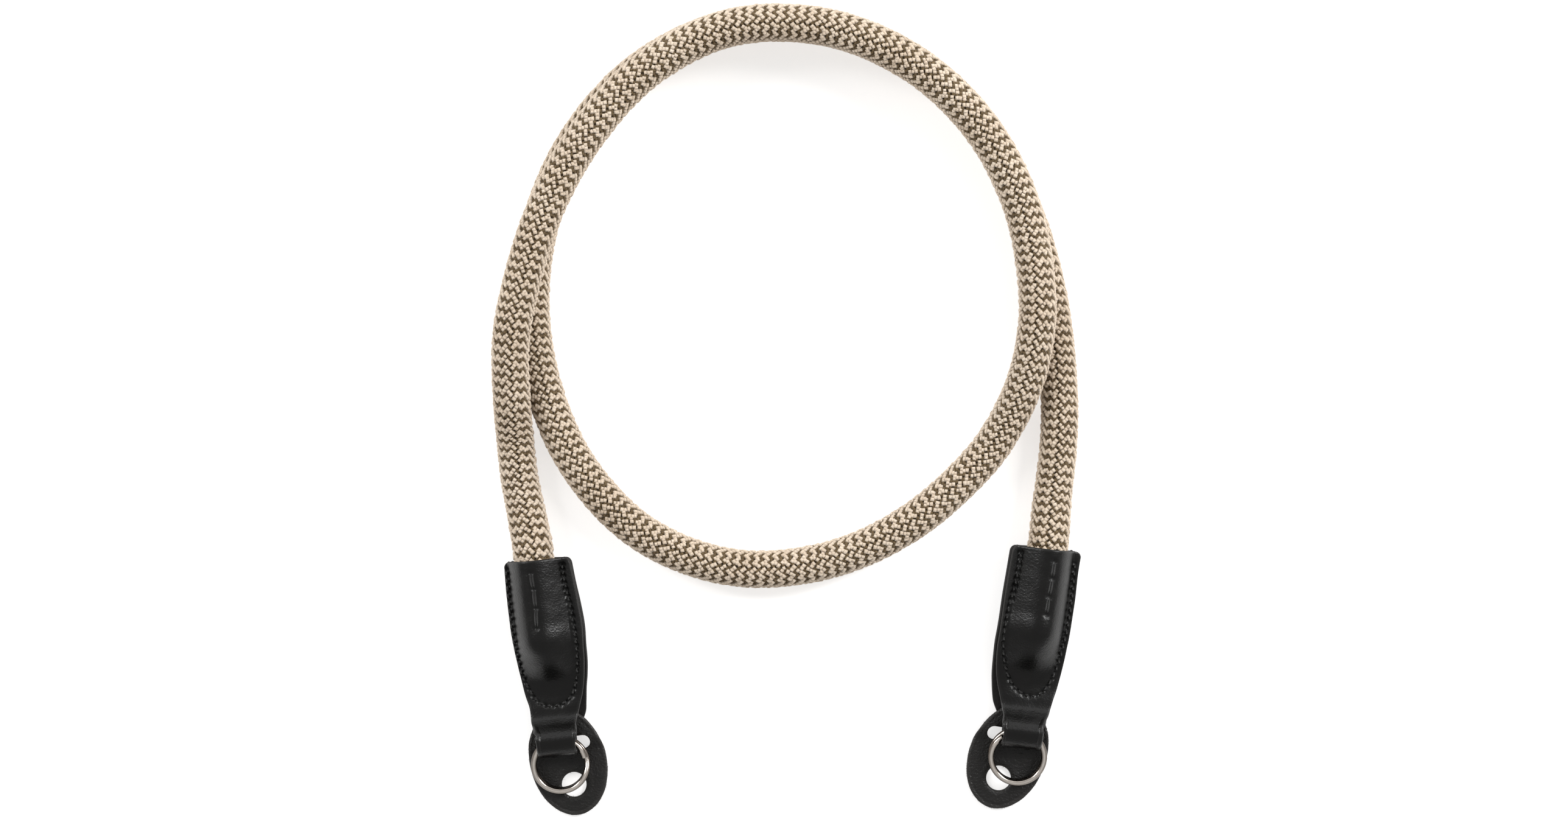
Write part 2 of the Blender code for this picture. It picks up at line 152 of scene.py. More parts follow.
# -------------------------------------------------------------------- helpers
def spline_through(points, count, floor):
    """A smooth curve through the points, read at equal steps, not below floor."""
    points = np.array(points, float)
    ends = (2 * points[0] - points[1], 2 * points[-1] - points[-2])
    padded = np.vstack([ends[0], points, ends[1]])
    dense = []
    for p0, p1, p2, p3 in zip(padded, padded[1:], padded[2:], padded[3:]):
        knots = np.concatenate(
            [[0.0], np.cumsum(np.sqrt(np.linalg.norm(np.diff([p0, p1, p2, p3], axis=0), axis=1)))]
        )
        for t in np.linspace(knots[1], knots[2], 24, endpoint=False):
            a1 = ((knots[1] - t) * p0 + (t - knots[0]) * p1) / (knots[1] - knots[0])
            a2 = ((knots[2] - t) * p1 + (t - knots[1]) * p2) / (knots[2] - knots[1])
            a3 = ((knots[3] - t) * p2 + (t - knots[2]) * p3) / (knots[3] - knots[2])
            b1 = ((knots[2] - t) * a1 + (t - knots[0]) * a2) / (knots[2] - knots[0])
            b2 = ((knots[3] - t) * a2 + (t - knots[1]) * a3) / (knots[3] - knots[1])
            dense.append(((knots[2] - t) * b1 + (t - knots[1]) * b2) / (knots[2] - knots[1]))
    dense.append(points[-1])
    dense = np.array(dense)
    run = np.concatenate([[0.0], np.cumsum(np.linalg.norm(np.diff(dense, axis=0), axis=1))])
    steps = np.linspace(0.0, run[-1], count)
    route = np.column_stack([np.interp(steps, run, dense[:, k]) for k in range(3)])
    route[:, 2] = np.maximum(route[:, 2], floor)
    return route


def table_curve(table, columns, u):
    """Each column of a table at u, eased between its rows."""
    row = len(table) - 2
    while row > 0 and table[row][0] > u:
        row -= 1
    low, high = table[row], table[row + 1]
    before = table[max(row - 1, 0)]
    after = table[min(row + 2, len(table) - 1)]
    step = high[0] - low[0]
    t = min(max((u - low[0]) / step, 0.0), 1.0)
    values = {}
    for k, column in enumerate(columns):
        slope_low = (high[k] - before[k]) / max(high[0] - before[0], 1e-9) * step
        slope_high = (after[k] - low[k]) / max(after[0] - low[0], 1e-9) * step
        values[column] = (
            (2 * t**3 - 3 * t**2 + 1) * low[k]
            + (t**3 - 2 * t**2 + t) * slope_low
            + (-2 * t**3 + 3 * t**2) * high[k]
            + (t**3 - t**2) * slope_high
        )
    values["u"] = u
    return values


def mesh_piece(name, points, faces, materials, smooth=True, uv=None, marks=None):
    """A mesh object from arrays. faces is one array of triangles or of quads."""
    points = np.asarray(points, np.float32)
    faces = np.asarray(faces, np.int32)
    corners = faces.shape[1]
    mesh = bpy.data.meshes.new(name)
    mesh.vertices.add(len(points))
    mesh.vertices.foreach_set("co", points.ravel())
    mesh.loops.add(faces.size)
    mesh.loops.foreach_set("vertex_index", faces.ravel())
    mesh.polygons.add(len(faces))
    mesh.polygons.foreach_set("loop_start", np.arange(0, faces.size, corners, dtype=np.int32))
    mesh.polygons.foreach_set("loop_total", np.full(len(faces), corners, np.int32))
    mesh.polygons.foreach_set("use_smooth", np.full(len(faces), smooth))
    if uv is not None:
        layer = mesh.uv_layers.new(name="around")
        layer.data.foreach_set("uv", np.asarray(uv, np.float32)[faces.ravel()].ravel())
    for mark, values in (marks or {}).items():
        attribute = mesh.attributes.new(mark, "FLOAT", "POINT")
        attribute.data.foreach_set("value", np.asarray(values, np.float32))
    mesh.update(calc_edges=True)
    mesh.validate()
    for material in materials:
        mesh.materials.append(material)
    obj = bpy.data.objects.new(name, mesh)
    bpy.context.scene.collection.objects.link(obj)
    return obj


def grid_faces(rows, columns, closed=False):
    """Quads of a grid of rows x columns, each row a closed ring if closed."""
    i = np.arange(rows - 1)[:, None]
    j = np.arange(columns if closed else columns - 1)[None, :]
    k = (j + 1) % columns
    return np.stack(
        [i * columns + j, i * columns + k, (i + 1) * columns + k, (i + 1) * columns + j], -1
    ).reshape(-1, 4)


def frames_along(route):
    """Unit vectors at each point: along, up, and to the right of travel."""
    along = np.gradient(route, axis=0)
    along /= np.linalg.norm(along, axis=1)[:, None]
    up = np.array([0.0, 0.0, 1.0]) - along * along[:, 2:3]
    up /= np.linalg.norm(up, axis=1)[:, None]
    return along, up, np.cross(along, up)


# ------------------------------------------------------------------ materials
def material(name, colour, roughness, metallic=0.0, specular=0.5, sheen=0.0,
             sheen_roughness=0.5, coat=0.0, coat_roughness=0.1):
    made = bpy.data.materials.new(name)
    made.use_nodes = True
    shader = made.node_tree.nodes["Principled BSDF"]
    shader.inputs["Base Color"].default_value = (*colour, 1.0)
    shader.inputs["Roughness"].default_value = roughness
    shader.inputs["Metallic"].default_value = metallic
    shader.inputs["Specular IOR Level"].default_value = specular
    shader.inputs["Sheen Weight"].default_value = sheen
    shader.inputs["Sheen Roughness"].default_value = sheen_roughness
    shader.inputs["Coat Weight"].default_value = coat
    shader.inputs["Coat Roughness"].default_value = coat_roughness
    return made, made.node_tree, shader


def node(tree, kind, **settings):
    made = tree.nodes.new(kind)
    for key, value in settings.items():
        if key in made.inputs:
            made.inputs[key].default_value = value
        else:
            setattr(made, key, value)
    return made


def place(tree, scale=(1.0, 1.0, 1.0), source="Object"):
    coordinates = node(tree, "ShaderNodeTexCoord")
    mapping = node(tree, "ShaderNodeMapping")
    mapping.inputs["Scale"].default_value = scale
    tree.links.new(coordinates.outputs[source], mapping.inputs["Vector"])
    return mapping.outputs["Vector"]


def noise(tree, vector, scale, detail=2.0, rough=0.5):
    made = node(tree, "ShaderNodeTexNoise")
    made.inputs["Scale"].default_value = scale
    made.inputs["Detail"].default_value = detail
    made.inputs["Roughness"].default_value = rough
    tree.links.new(vector, made.inputs["Vector"])
    return made.outputs["Fac"]


def cells(tree, vector, scale, feature="F1"):
    made = node(tree, "ShaderNodeTexVoronoi")
    made.feature = feature
    made.inputs["Scale"].default_value = scale
    tree.links.new(vector, made.inputs["Vector"])
    return made.outputs["Distance"]


def ramp(tree, fac, stops):
    made = node(tree, "ShaderNodeValToRGB")
    elements = made.color_ramp.elements
    while len(elements) < len(stops):
        elements.new(0.5)
    for element, (position, colour) in zip(elements, stops):
        element.position = position
        element.color = (*colour, 1.0) if len(colour) == 3 else colour
    tree.links.new(fac, made.inputs["Fac"])
    return made.outputs["Color"]


def grey(value):
    return (value, value, value)


def mix_colour(tree, fac, first, second, blend_type="MIX"):
    made = node(tree, "ShaderNodeMix", data_type="RGBA", blend_type=blend_type)
    for socket, value in ((made.inputs[0], fac), (made.inputs[6], first), (made.inputs[7], second)):
        if isinstance(value, bpy.types.NodeSocket):
            tree.links.new(value, socket)
        elif isinstance(value, float):
            socket.default_value = value
        else:
            socket.default_value = (*value, 1.0)
    return made.outputs[2]


def maths(tree, operation, first, second=0.0):
    made = node(tree, "ShaderNodeMath", operation=operation)
    for socket, value in zip(made.inputs, (first, second)):
        if isinstance(value, bpy.types.NodeSocket):
            tree.links.new(value, socket)
        else:
            socket.default_value = value
    return made.outputs[0]


def bump(tree, height, distance, strength=1.0, under=None):
    made = node(tree, "ShaderNodeBump")
    made.inputs["Strength"].default_value = strength
    made.inputs["Distance"].default_value = distance
    tree.links.new(height, made.inputs["Height"])
    if under is not None:
        tree.links.new(under, made.inputs["Normal"])
    return made.outputs["Normal"]


def mark(tree, name):
    made = node(tree, "ShaderNodeAttribute")
    made.attribute_type = "GEOMETRY"
    made.attribute_name = name
    return made.outputs["Fac"]


def yarn_material(name, low, middle, high, sheen, hair):
    """Matt polyester yarn: fine filaments along each float, slight mottling."""
    made, tree, shader = material(name, middle, 0.72, specular=0.25, sheen=sheen, sheen_roughness=0.45)
    vector = place(tree)
    mottled = noise(tree, vector, 900.0, 3.0, 0.6)
    broad = noise(tree, vector, 60.0, 2.0, 0.5)
    blended = maths(tree, "ADD", maths(tree, "MULTIPLY", mottled, 0.65), maths(tree, "MULTIPLY", broad, 0.35))
    colour = ramp(tree, blended, ((0.33, low), (0.5, middle), (0.68, high)))
    around = place(tree, (1.0, 1.0, 1.0), "UV")
    wave = node(tree, "ShaderNodeTexWave")
    wave.wave_type = "BANDS"
    wave.bands_direction = "Y"
    wave.inputs["Scale"].default_value = 1.35
    wave.inputs["Distortion"].default_value = 1.1
    wave.inputs["Detail"].default_value = 2.0
    tree.links.new(around, wave.inputs["Vector"])
    # Painted shade: darker between the filaments, and at the floats' lower rims.
    lines = ramp(tree, wave.outputs["Fac"], ((0.05, grey(0.66)), (0.5, grey(1.0))))
    colour = mix_colour(tree, 1.0, colour, lines, "MULTIPLY")
    rim = mark(tree, "depth")
    tree.links.new(mix_colour(tree, rim, colour, tuple(0.36 * c for c in middle)), shader.inputs["Base Color"])
    strands = bump(tree, wave.outputs["Fac"], hair, 0.8)
    fine = bump(tree, noise(tree, vector, 4200.0, 3.0, 0.65), 0.04 * MM, 0.7, strands)
    tree.links.new(fine, shader.inputs["Normal"])
    tree.links.new(ramp(tree, mottled, ((0.3, grey(0.62)), (0.7, grey(0.84)))), shader.inputs["Roughness"])
    return made


def leather_material(name, base, rough_low, rough_high, grain, wrinkles, edge_colour, specular):
    """Black leather: pebbled grain, fine creases, a duller fibrous cut edge."""
    made, tree, shader = material(name, base, 0.4, specular=specular)
    vector = place(tree)
    pebbles = cells(tree, vector, 3100.0, "SMOOTH_F1")
    larger = cells(tree, place(tree, (1.0, 1.35, 1.0)), 1500.0, "SMOOTH_F1")
    mottled = noise(tree, vector, 420.0, 4.0, 0.6)
    patches = noise(tree, vector, 130.0, 2.0, 0.5)
    creases = noise(tree, place(tree, (1.0, 1.9, 1.0)), 1150.0, 3.0, 0.62)
    edge = mark(tree, "edge")
    edge_wear_and_highlight = mark(tree, "wear_and_highlight")
    pit = mark(tree, "pit")
    face = ramp(tree, mottled, ((0.3, tuple(0.8 * c for c in base)), (0.55, base), (0.8, tuple(1.4 * c for c in base))))
    # A lighter band just inside the cut edges: partly rub wear, partly a painted highlight on the edge's rounded
    # shoulder.
    face_with_wear_and_highlight = mix_colour(tree, edge_wear_and_highlight, face, tuple(3.2 * c + 0.003 for c in base))
    fibres = ramp(tree, noise(tree, vector, 3000.0, 4.0, 0.7), ((0.35, tuple(0.5 * c for c in edge_colour)), (0.7, edge_colour)))
    colour = mix_colour(tree, edge, face_with_wear_and_highlight, fibres)
    # Painted shade: the stitch holes are coloured near black and made fully rough.
    tree.links.new(mix_colour(tree, pit, colour, (0.0012, 0.0011, 0.0010)), shader.inputs["Base Color"])
    roughness = ramp(tree, mottled, ((0.25, grey(rough_low)), (0.75, grey(rough_high))))
    roughness = mix_colour(tree, edge, roughness, grey(0.7))
    roughness = mix_colour(tree, mark(tree, "matt"), roughness, grey(0.33))
    tree.links.new(mix_colour(tree, pit, roughness, grey(0.95)), shader.inputs["Roughness"])
    # The grain is stronger in some patches than in others.
    raised = maths(tree, "MULTIPLY", pebbles, ramp(tree, patches, ((0.35, grey(0.55)), (0.65, grey(1.0)))))
    first = bump(tree, creases, wrinkles, 1.0)
    second = bump(tree, larger, grain * 0.9, 1.0, first)
    third = bump(tree, raised, grain, 1.0, second)
    tree.links.new(third, shader.inputs["Normal"])
    return made


def thread_material():
    made, tree, shader = material("waxed_thread", (0.012, 0.012, 0.012), 0.42, specular=0.5)
    wave = node(tree, "ShaderNodeTexWave")
    wave.wave_type = "BANDS"
    wave.bands_direction = "DIAGONAL"
    wave.inputs["Scale"].default_value = 2.2
    wave.inputs["Distortion"].default_value = 0.8
    tree.links.new(place(tree, (1.0, 1.0, 1.0), "UV"), wave.inputs["Vector"])
    tree.links.new(bump(tree, wave.outputs["Fac"], 0.09 * MM, 0.9), shader.inputs["Normal"])
    tree.links.new(
        ramp(tree, wave.outputs["Fac"], ((0.2, (0.006, 0.006, 0.006)), (0.8, (0.022, 0.021, 0.02)))),
        shader.inputs["Base Color"],
    )
    return made


def metal_material():
    """Nickel-plated spring wire, polished, with fine drawn lines, a painted highlight along its crown and painted shade
    on its flanks.
    """
    made, tree, shader = material("nickel_wire", (0.56, 0.47, 0.40), 0.28, metallic=1.0)
    lines = noise(tree, place(tree, (0.3, 30.0, 1.0), "UV"), 4.0, 2.0, 0.5)
    dull = noise(tree, place(tree), 700.0, 3.0, 0.6)
    # Painted highlight: a pale colour along the top of the wire; painted shade: a dark colour on its flanks.
    crown = ramp(tree, dull, ((0.3, (0.86, 0.79, 0.72)), (0.55, (0.92, 0.85, 0.78)), (0.8, (0.96, 0.90, 0.83))))
    flank = ramp(tree, dull, ((0.3, (0.07, 0.054, 0.043)), (0.8, (0.12, 0.095, 0.077))))
    tree.links.new(mix_colour(tree, mark(tree, "wear_and_highlight"), flank, crown), shader.inputs["Base Color"])
    tree.links.new(ramp(tree, dull, ((0.3, grey(0.18)), (0.75, grey(0.25)))), shader.inputs["Roughness"])
    tree.links.new(bump(tree, lines, 0.004 * MM, 0.5), shader.inputs["Normal"])
    return made


LIGHT_YARN = yarn_material(
    "light_yarn", (0.665, 0.53, 0.395), (0.80, 0.66, 0.515), (0.92, 0.79, 0.645), 0.2, 0.07 * MM)
DARK_YARN = yarn_material(
    "dark_yarn", (0.106, 0.067, 0.029), (0.157, 0.106, 0.052), (0.220, 0.157, 0.086), 0.1, 0.07 * MM)
CORE_YARN, core_tree, core_shader = material("core_yarn", (0.07, 0.048, 0.026), 0.85, specular=0.2)
core_tree.links.new(
    ramp(core_tree, noise(core_tree, place(core_tree), 1500.0, 3.0, 0.6),
         ((0.3, (0.045, 0.030, 0.016)), (0.7, (0.095, 0.068, 0.038)))),
    core_shader.inputs["Base Color"])
core_tree.links.new(
    bump(core_tree, noise(core_tree, place(core_tree), 2600.0, 3.0, 0.6), 0.12 * MM, 0.8),
    core_shader.inputs["Normal"])
LEATHER_BLACK = leather_material(
    "smooth_black_leather", (0.0030, 0.0028, 0.0026), 0.27, 0.35, 0.040 * MM, 0.010 * MM, (0.020, 0.018, 0.017), 0.31)
FLAP_BLACK = leather_material(
    "matt_black_leather", (0.0095, 0.0088, 0.0082), 0.36, 0.48, 0.120 * MM, 0.02 * MM, (0.028, 0.025, 0.023), 0.36)
THREAD = thread_material()
METAL = metal_material()


# ------------------------------------------------------------------ neck rope
def end_matrix(end):
    heading = math.radians(end["heading_deg"])
    along = Vector((math.cos(heading), math.sin(heading), 0.0))
    across = Vector((-math.sin(heading), math.cos(heading), 0.0))
    made = Matrix((along, across, Vector((0.0, 0.0, 1.0)))).transposed().to_4x4()
    made.translation = Vector((end["mouth_x"], end["mouth_y"], 0.0)) * MM + CENTRE_SHIFT
    return made


def pocket_points(end):
    to_world = end_matrix(end)
    points = []
    for u in (ROPE_IN_POCKET, ROPE_IN_POCKET * 2 / 3, ROPE_IN_POCKET / 3, 0.0):
        values = table_curve(TAB, TAB_COLUMNS, u / MM)
        roll = math.radians(values["roll_deg"])
        points.append(to_world @ Vector((
            u,
            end["raised"] * (values["shift"] - end["rope_offset"] * math.cos(roll)) * MM,
            (values["lift"] - end["rope_offset"] * math.sin(roll)) * MM,
        )))
    return points


def rope_route(count):
    left, right = ENDS
    points = pocket_points(left)
    points += [Vector(row) * MM + CENTRE_SHIFT for row in LEG_LEFT]
    for angle_deg, radius, height in COIL:
        angle = math.radians(angle_deg)
        points.append(Vector((
            LOOP_CENTRE.x + radius * MM * math.cos(angle),
            LOOP_CENTRE.y + radius * MM * math.sin(angle),
            height * MM,
        )) + CENTRE_SHIFT)
    points += [Vector(row) * MM + CENTRE_SHIFT for row in LEG_RIGHT]
    points += reversed(pocket_points(right))
    return spline_through(points, count, ROPE_DIAMETER / 2)


BRAID_PERIOD = 2.57 * MM  # along the rope, over two light and two dark yarns
RIBS = 12  # ribs of each slant round the rope
CORE_RADIUS = 4.22 * MM
ROPE_SURFACE = 4.70 * MM  # where the floats' sizes are measured

route = rope_route(1700)
run = np.concatenate([[0.0], np.cumsum(np.linalg.norm(np.diff(route, axis=0), axis=1))])
rope_length = float(run[-1])
route_along, route_up, route_right = frames_along(route)


def on_rope(s, angle, radius):
    """Places at s along the rope, at an angle round it from its top."""
    at = [np.interp(s, run, column) for column in route.T]
    up = [np.interp(s, run, column) for column in route_up.T]
    right = [np.interp(s, run, column) for column in route_right.T]
    # The rope is pressed a little flatter and wider near its leather ends.
    from_mouth = np.maximum(np.minimum(s, rope_length - s) - ROPE_IN_POCKET, 0.0)
    pressed = np.exp(-((from_mouth / (15 * MM)) ** 2))
    cosine = radius * np.cos(angle) * (1.0 - 0.03 * pressed)
    sine = radius * np.sin(angle) * (1.0 + 0.085 * pressed)
    return np.stack([a + cosine * u + sine * r for a, u, r in zip(at, up, right)], -1)


def rope_core():
    sides, rings = 28, 900
    s = np.linspace(0.0, rope_length, rings)
    angle = np.linspace(0.0, 2 * math.pi, sides, endpoint=False)
    points = on_rope(
        np.repeat(s, sides), np.tile(angle, rings), np.full(rings * sides, CORE_RADIUS)
    )
    faces = grid_faces(rings, sides, closed=True)[:, ::-1]
    first = len(points)
    points = np.vstack([points, route[0], route[-1]])
    j = np.arange(sides)
    k = (j + 1) % sides
    last = (rings - 1) * sides
    caps = np.vstack([
        np.stack([j, k, np.full(sides, first), np.full(sides, first)], -1),
        np.stack([last + k, last + j, np.full(sides, first + 1), np.full(sides, first + 1)], -1),
    ])
    triangles = np.vstack([faces[:, [0, 1, 2]], faces[:, [0, 2, 3]], caps[:, [0, 1, 2]]])
    return mesh_piece("neck_rope_core", points, triangles, [CORE_YARN])


def float_places():
    """Rows of (s, angle, slant, light) for each float on the braid's surface."""
    periods = int(rope_length / BRAID_PERIOD) + 1
    start = np.arange(periods) * BRAID_PERIOD
    step_s, step_w = 0.245 * BRAID_PERIOD, 0.57 * MM
    rows = []
    for rib in range(RIBS):
        for slant, offset, phase, drift in ((1, -14.5, 0.25, 2 / 12), (-1, -1.5, 0.85, -3 / 12)):
            angle = math.radians(offset + 360.0 / RIBS * rib)
            for light in (True, False):
                count = 3 if (slant < 0 and light and rib % RIBS not in (0,)) else 2
                for k in range(count):
                    t = k - (count - 1) / 2
                    s = start + (phase + drift * rib + (0.0 if light else 0.5)) % 1.0 * BRAID_PERIOD
                    s = s + slant * t * step_s
                    w = t * step_w
                    rows.append(np.stack([
                        s, np.full(periods, angle + w / ROPE_SURFACE),
                        np.full(periods, float(slant)), np.full(periods, float(light)),
                    ], -1))
    rows = np.vstack(rows)
    inside = (rows[:, 0] > 0.3 * MM) & (rows[:, 0] < rope_length - 0.3 * MM)
    return rows[inside]


def floats(name, rows, half_long, half_wide, top, base, yarn, tilt_deg):
    """Pillows of yarn, four-cornered: a sunk base, a shoulder and a flat crown."""
    count = len(rows)
    corners_long, corners_wide = np.array([1.0, -1.0, -1.0, 1.0]), np.array([1.0, 1.0, -1.0, -1.0])
    size = 1.0 + 0.07 * rng.standard_normal((count, 1))
    tilt = np.radians(tilt_deg) * rows[:, 2:3] + 0.13 * rng.standard_normal((count, 1))
    lift = 0.05 * MM * rng.standard_normal((count, 1))
    s0 = rows[:, 0:1] + 0.035 * MM * rng.standard_normal((count, 1))
    a0 = rows[:, 1:2] + 0.035 * MM / ROPE_SURFACE * rng.standard_normal((count, 1))
    stack_s, stack_w, stack_r, stack_u, stack_v, stack_d = [], [], [], [], [], []
    for share, radius, depth in ((1.0, base, 1.0), (0.90, top - 0.24 * MM, 0.30), (0.46, top, 0.0)):
        along = half_long * share * size * corners_long[None]
        across = half_wide * share * size * corners_wide[None]
        stack_w.append(along * np.cos(tilt) - across * np.sin(tilt))
        stack_s.append(along * np.sin(tilt) + across * np.cos(tilt))
        stack_r.append(np.broadcast_to(radius + lift * (depth < 0.5), along.shape))
        stack_u.append(along / MM)
        stack_v.append(across / MM)
        stack_d.append(np.full(along.shape, depth))
    w, s, radius = np.hstack(stack_w), np.hstack(stack_s), np.hstack(stack_r)
    u, v, depth = np.hstack(stack_u), np.hstack(stack_v), np.hstack(stack_d)
    points = on_rope(
        np.clip(s0 + s, 0.0, rope_length).ravel(), (a0 + w / ROPE_SURFACE).ravel(), radius.ravel()
    )
    j = np.arange(4)
    k = (j + 1) % 4
    one = np.vstack([
        np.stack([j, k, 4 + k], -1), np.stack([j, 4 + k, 4 + j], -1),
        np.stack([4 + j, 4 + k, 8 + k], -1), np.stack([4 + j, 8 + k, 8 + j], -1),
        [[8, 9, 10], [8, 10, 11]],
    ])
    faces = (one[None] + (np.arange(count) * 12)[:, None, None]).reshape(-1, 3)
    uv = np.stack([u.ravel(), v.ravel() + 3.7 * np.repeat(np.arange(count) % 7, 12)], -1)
    return mesh_piece(name, points, faces, [yarn], uv=uv, marks={"depth": depth.ravel()})


def hairs(name, start, way, curl, long_, radius, look):
    """Fine tapering fibres, each a closed three-sided prism of two steps."""
    number = len(start)
    t = np.array([0.0, 0.5, 1.0])
    line = (
        start[:, None] + (way * long_[:, None])[:, None] * t[None, :, None]
        + (curl * long_[:, None])[:, None] * (t**2)[None, :, None]
    )
    line[..., 2] = np.maximum(line[..., 2], 0.05 * MM)
    side = np.cross(way, [0.0, 0.0, 1.0])
    side /= np.linalg.norm(side, axis=1)[:, None] + 1e-12
    up = np.cross(side, way)
    up /= np.linalg.norm(up, axis=1)[:, None] + 1e-12
    turn = np.arange(3) * 2 * math.pi / 3
    ring = side[:, None] * np.cos(turn)[None, :, None] + up[:, None] * np.sin(turn)[None, :, None]
    size = radius * np.array([1.0, 0.85, 0.35])
    points = (line[:, :, None] + size[None, :, None, None] * ring[:, None]).reshape(-1, 3)
    j = np.arange(3)
    k = (j + 1) % 3
    one = np.vstack(
        [np.stack([a + j, a + k, a + 3 + k], -1) for a in (0, 3)]
        + [np.stack([a + j, a + 3 + k, a + 3 + j], -1) for a in (0, 3)]
        + [[[2, 1, 0], [6, 7, 8]]]
    )
    faces = (one[None] + (np.arange(number) * 9)[:, None, None]).reshape(-1, 3)
    marks = {mark_: np.zeros(9 * number) for mark_ in ("pit", "matt", "wear_and_highlight", "depth")}
    marks["edge"] = np.full(9 * number, 0.6)
    return mesh_piece(name, points, faces, [look], uv=np.zeros((9 * number, 2)), marks=marks)


core = rope_core()
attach(core, "strap")
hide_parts("neck_rope")
places = float_places()
order = np.argsort(places[:, 0], kind="stable")
places = places[order]
for light, label, long_, wide_, top in (
    (1.0, "light", 0.54 * MM, 0.455 * MM, 4.90 * MM),
    (0.0, "dark", 0.55 * MM, 0.48 * MM, 4.64 * MM),
):
    chosen = places[places[:, 3] == light]
    cut = len(chosen) // 2
    for half, rows in enumerate((chosen[:cut], chosen[cut:])):
        piece = floats(
            f"neck_rope_{label}_yarn_{half + 1}", rows, long_, wide_, top, 4.12 * MM,
            LIGHT_YARN if light else DARK_YARN, -42.0,
        )
        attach(piece, "strap")
fuzz_count = 2400
fuzz_s = rng.uniform(1 * MM, rope_length - 1 * MM, fuzz_count)
fuzz_angle = rng.uniform(-math.pi, math.pi, fuzz_count)
fuzz_start = on_rope(fuzz_s, fuzz_angle, np.full(fuzz_count, 4.70 * MM))
fuzz_out = on_rope(fuzz_s, fuzz_angle, np.full(fuzz_count, 5.70 * MM)) - fuzz_start
fuzz_out /= np.linalg.norm(fuzz_out, axis=1)[:, None]
fuzz_along = on_rope(np.clip(fuzz_s + 0.5 * MM, 0, rope_length), fuzz_angle, np.full(fuzz_count, 4.70 * MM)) - fuzz_start
fuzz_along /= np.linalg.norm(fuzz_along, axis=1)[:, None]
fuzz_side = np.cross(fuzz_out, fuzz_along)
spread = rng.uniform(-1.3, 1.3, (fuzz_count, 2))
fuzz_way = fuzz_out * 0.55 + fuzz_along * spread[:, :1] + fuzz_side * spread[:, 1:]
fuzz_way /= np.linalg.norm(fuzz_way, axis=1)[:, None]
inside_rope = np.minimum(fuzz_s, rope_length - fuzz_s) > ROPE_IN_POCKET + 0.8 * MM
for label, take, yarn in (("light", slice(0, None, 2), LIGHT_YARN), ("dark", slice(1, None, 2), DARK_YARN)):
    keep = inside_rope[take]
    piece = hairs(
        f"neck_rope_{label}_fuzz", fuzz_start[take][keep], fuzz_way[take][keep],
        -0.30 * fuzz_out[take][keep] + 0.25 * rng.standard_normal((int(keep.sum()), 3)),
        0.45 * MM + 0.30 * MM * rng.random(int(keep.sum())), 0.022 * MM, yarn,
    )
    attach(piece, "strap")


# --------------------------------------------------------------- leather ends
def strip_table(length):
    scale = length / NOMINAL_LENGTH
    fold_start = length * MM - EYE_RADIUS - LEATHER / 2
    start = fold_start / MM / scale
    eye_height = EYE_RADIUS + LEATHER / 2 + EYE_LIFT
    table = TAB + (
        (start, eye_height / MM, EYE_RADIUS / MM, NECK_HALF_WIDTH / MM,
         NECK_HALF_WIDTH / MM, FOLD_SHIFT / MM, 0.0, 0.5, 0.0),
    )
    return table, start, scale, fold_start


# How much wider than the table each layer is, in millimetres, on its low side
# and on its raised side.
OUTLINE_COLUMNS = ("u", "front_low", "front_high", "back_low", "back_high", "rise", "fuller")
OUTLINE = {
    "left": (
        (0, 0.20, 0.15, 0.0, 0.05, 0.0, 0.0), (6, 0.10, 0.50, 0.0, 0.30, 0.0, 0.0),
        (12, 0.0, 0.73, 0.0, 0.68, 0.0, 0.0), (18, -0.10, 0.92, 0.0, 0.78, 0.0, 0.0),
        (24, -0.30, 0.32, -0.1, 0.24, 0.0, 0.0), (28, -0.20, 0.1, -0.3, 0.0, 0.0, 0.06),
        (31, -0.10, 0.0, -0.4, -0.25, 0.05, 0.12), (34, 0.05, 0.0, -0.8, -0.45, 0.3, 0.08),
        (38, 0.30, 0.0, -1.1, -0.3, 0.2, 0.0), (40.5, 0.75, 0.0, -1.1, 0.1, -1.0, 0.0),
        (42, 1.00, 0.0, -0.98, 0.28, -1.9, 0.0), (43, 0.88, 0.0, -0.9, 0.4, -2.0, 0.0),
        (44, 0.62, 0.0, -0.7, 0.27, -1.25, 0.0), (45, 0.42, 0.0, -0.48, 0.15, -0.5, 0.0),
        (46.3, 0.32, 0.0, -0.2, 0.0, 0.0, 0.0),
    ),
    "right": (
        (0, 0.85, 0.30, 0.0, 0.45, 0.0, 0.0), (6, 0.35, 0.30, 0.0, 0.40, 0.0, 0.0),
        (12, 0.33, 0.25, 0.0, 0.30, 0.0, 0.0), (18, 0.20, 0.10, 0.0, 0.05, 0.0, 0.0),
        (24, 0.20, 0.0, 0.0, 0.0, 0.0, 0.0), (28, 0.45, 0.0, 0.0, -0.1, 0.0, 0.06),
        (31, 0.65, 0.0, 0.0, -0.1, 0.05, 0.12), (34, 0.77, 0.0, -0.1, 0.0, 0.3, 0.08),
        (38, 1.12, 0.0, -0.2, 0.0, 0.2, 0.0), (40.5, 1.2, 0.0, -0.4, 0.15, -0.9, 0.0),
        (42, 1.18, 0.0, -0.46, 0.24, -1.7, 0.0), (43, 0.90, 0.0, -0.5, 0.3, -1.75, 0.0),
        (44, 0.62, 0.0, -0.44, 0.2, -1.1, 0.0), (45, 0.42, 0.0, -0.35, 0.12, -0.45, 0.0),
        (46.3, 0.32, 0.0, -0.2, 0.0, 0.0, 0.0),
    ),
}
FOLD_COVER = {"left": (-0.2, 0.0, 0.2, 0.3, 0.32), "right": (-0.2, 0.0, 0.2, 0.3, 0.32)}


SPLIT_WIRE, SPLIT_PITCH = 1.48 * MM, 1.5 * MM


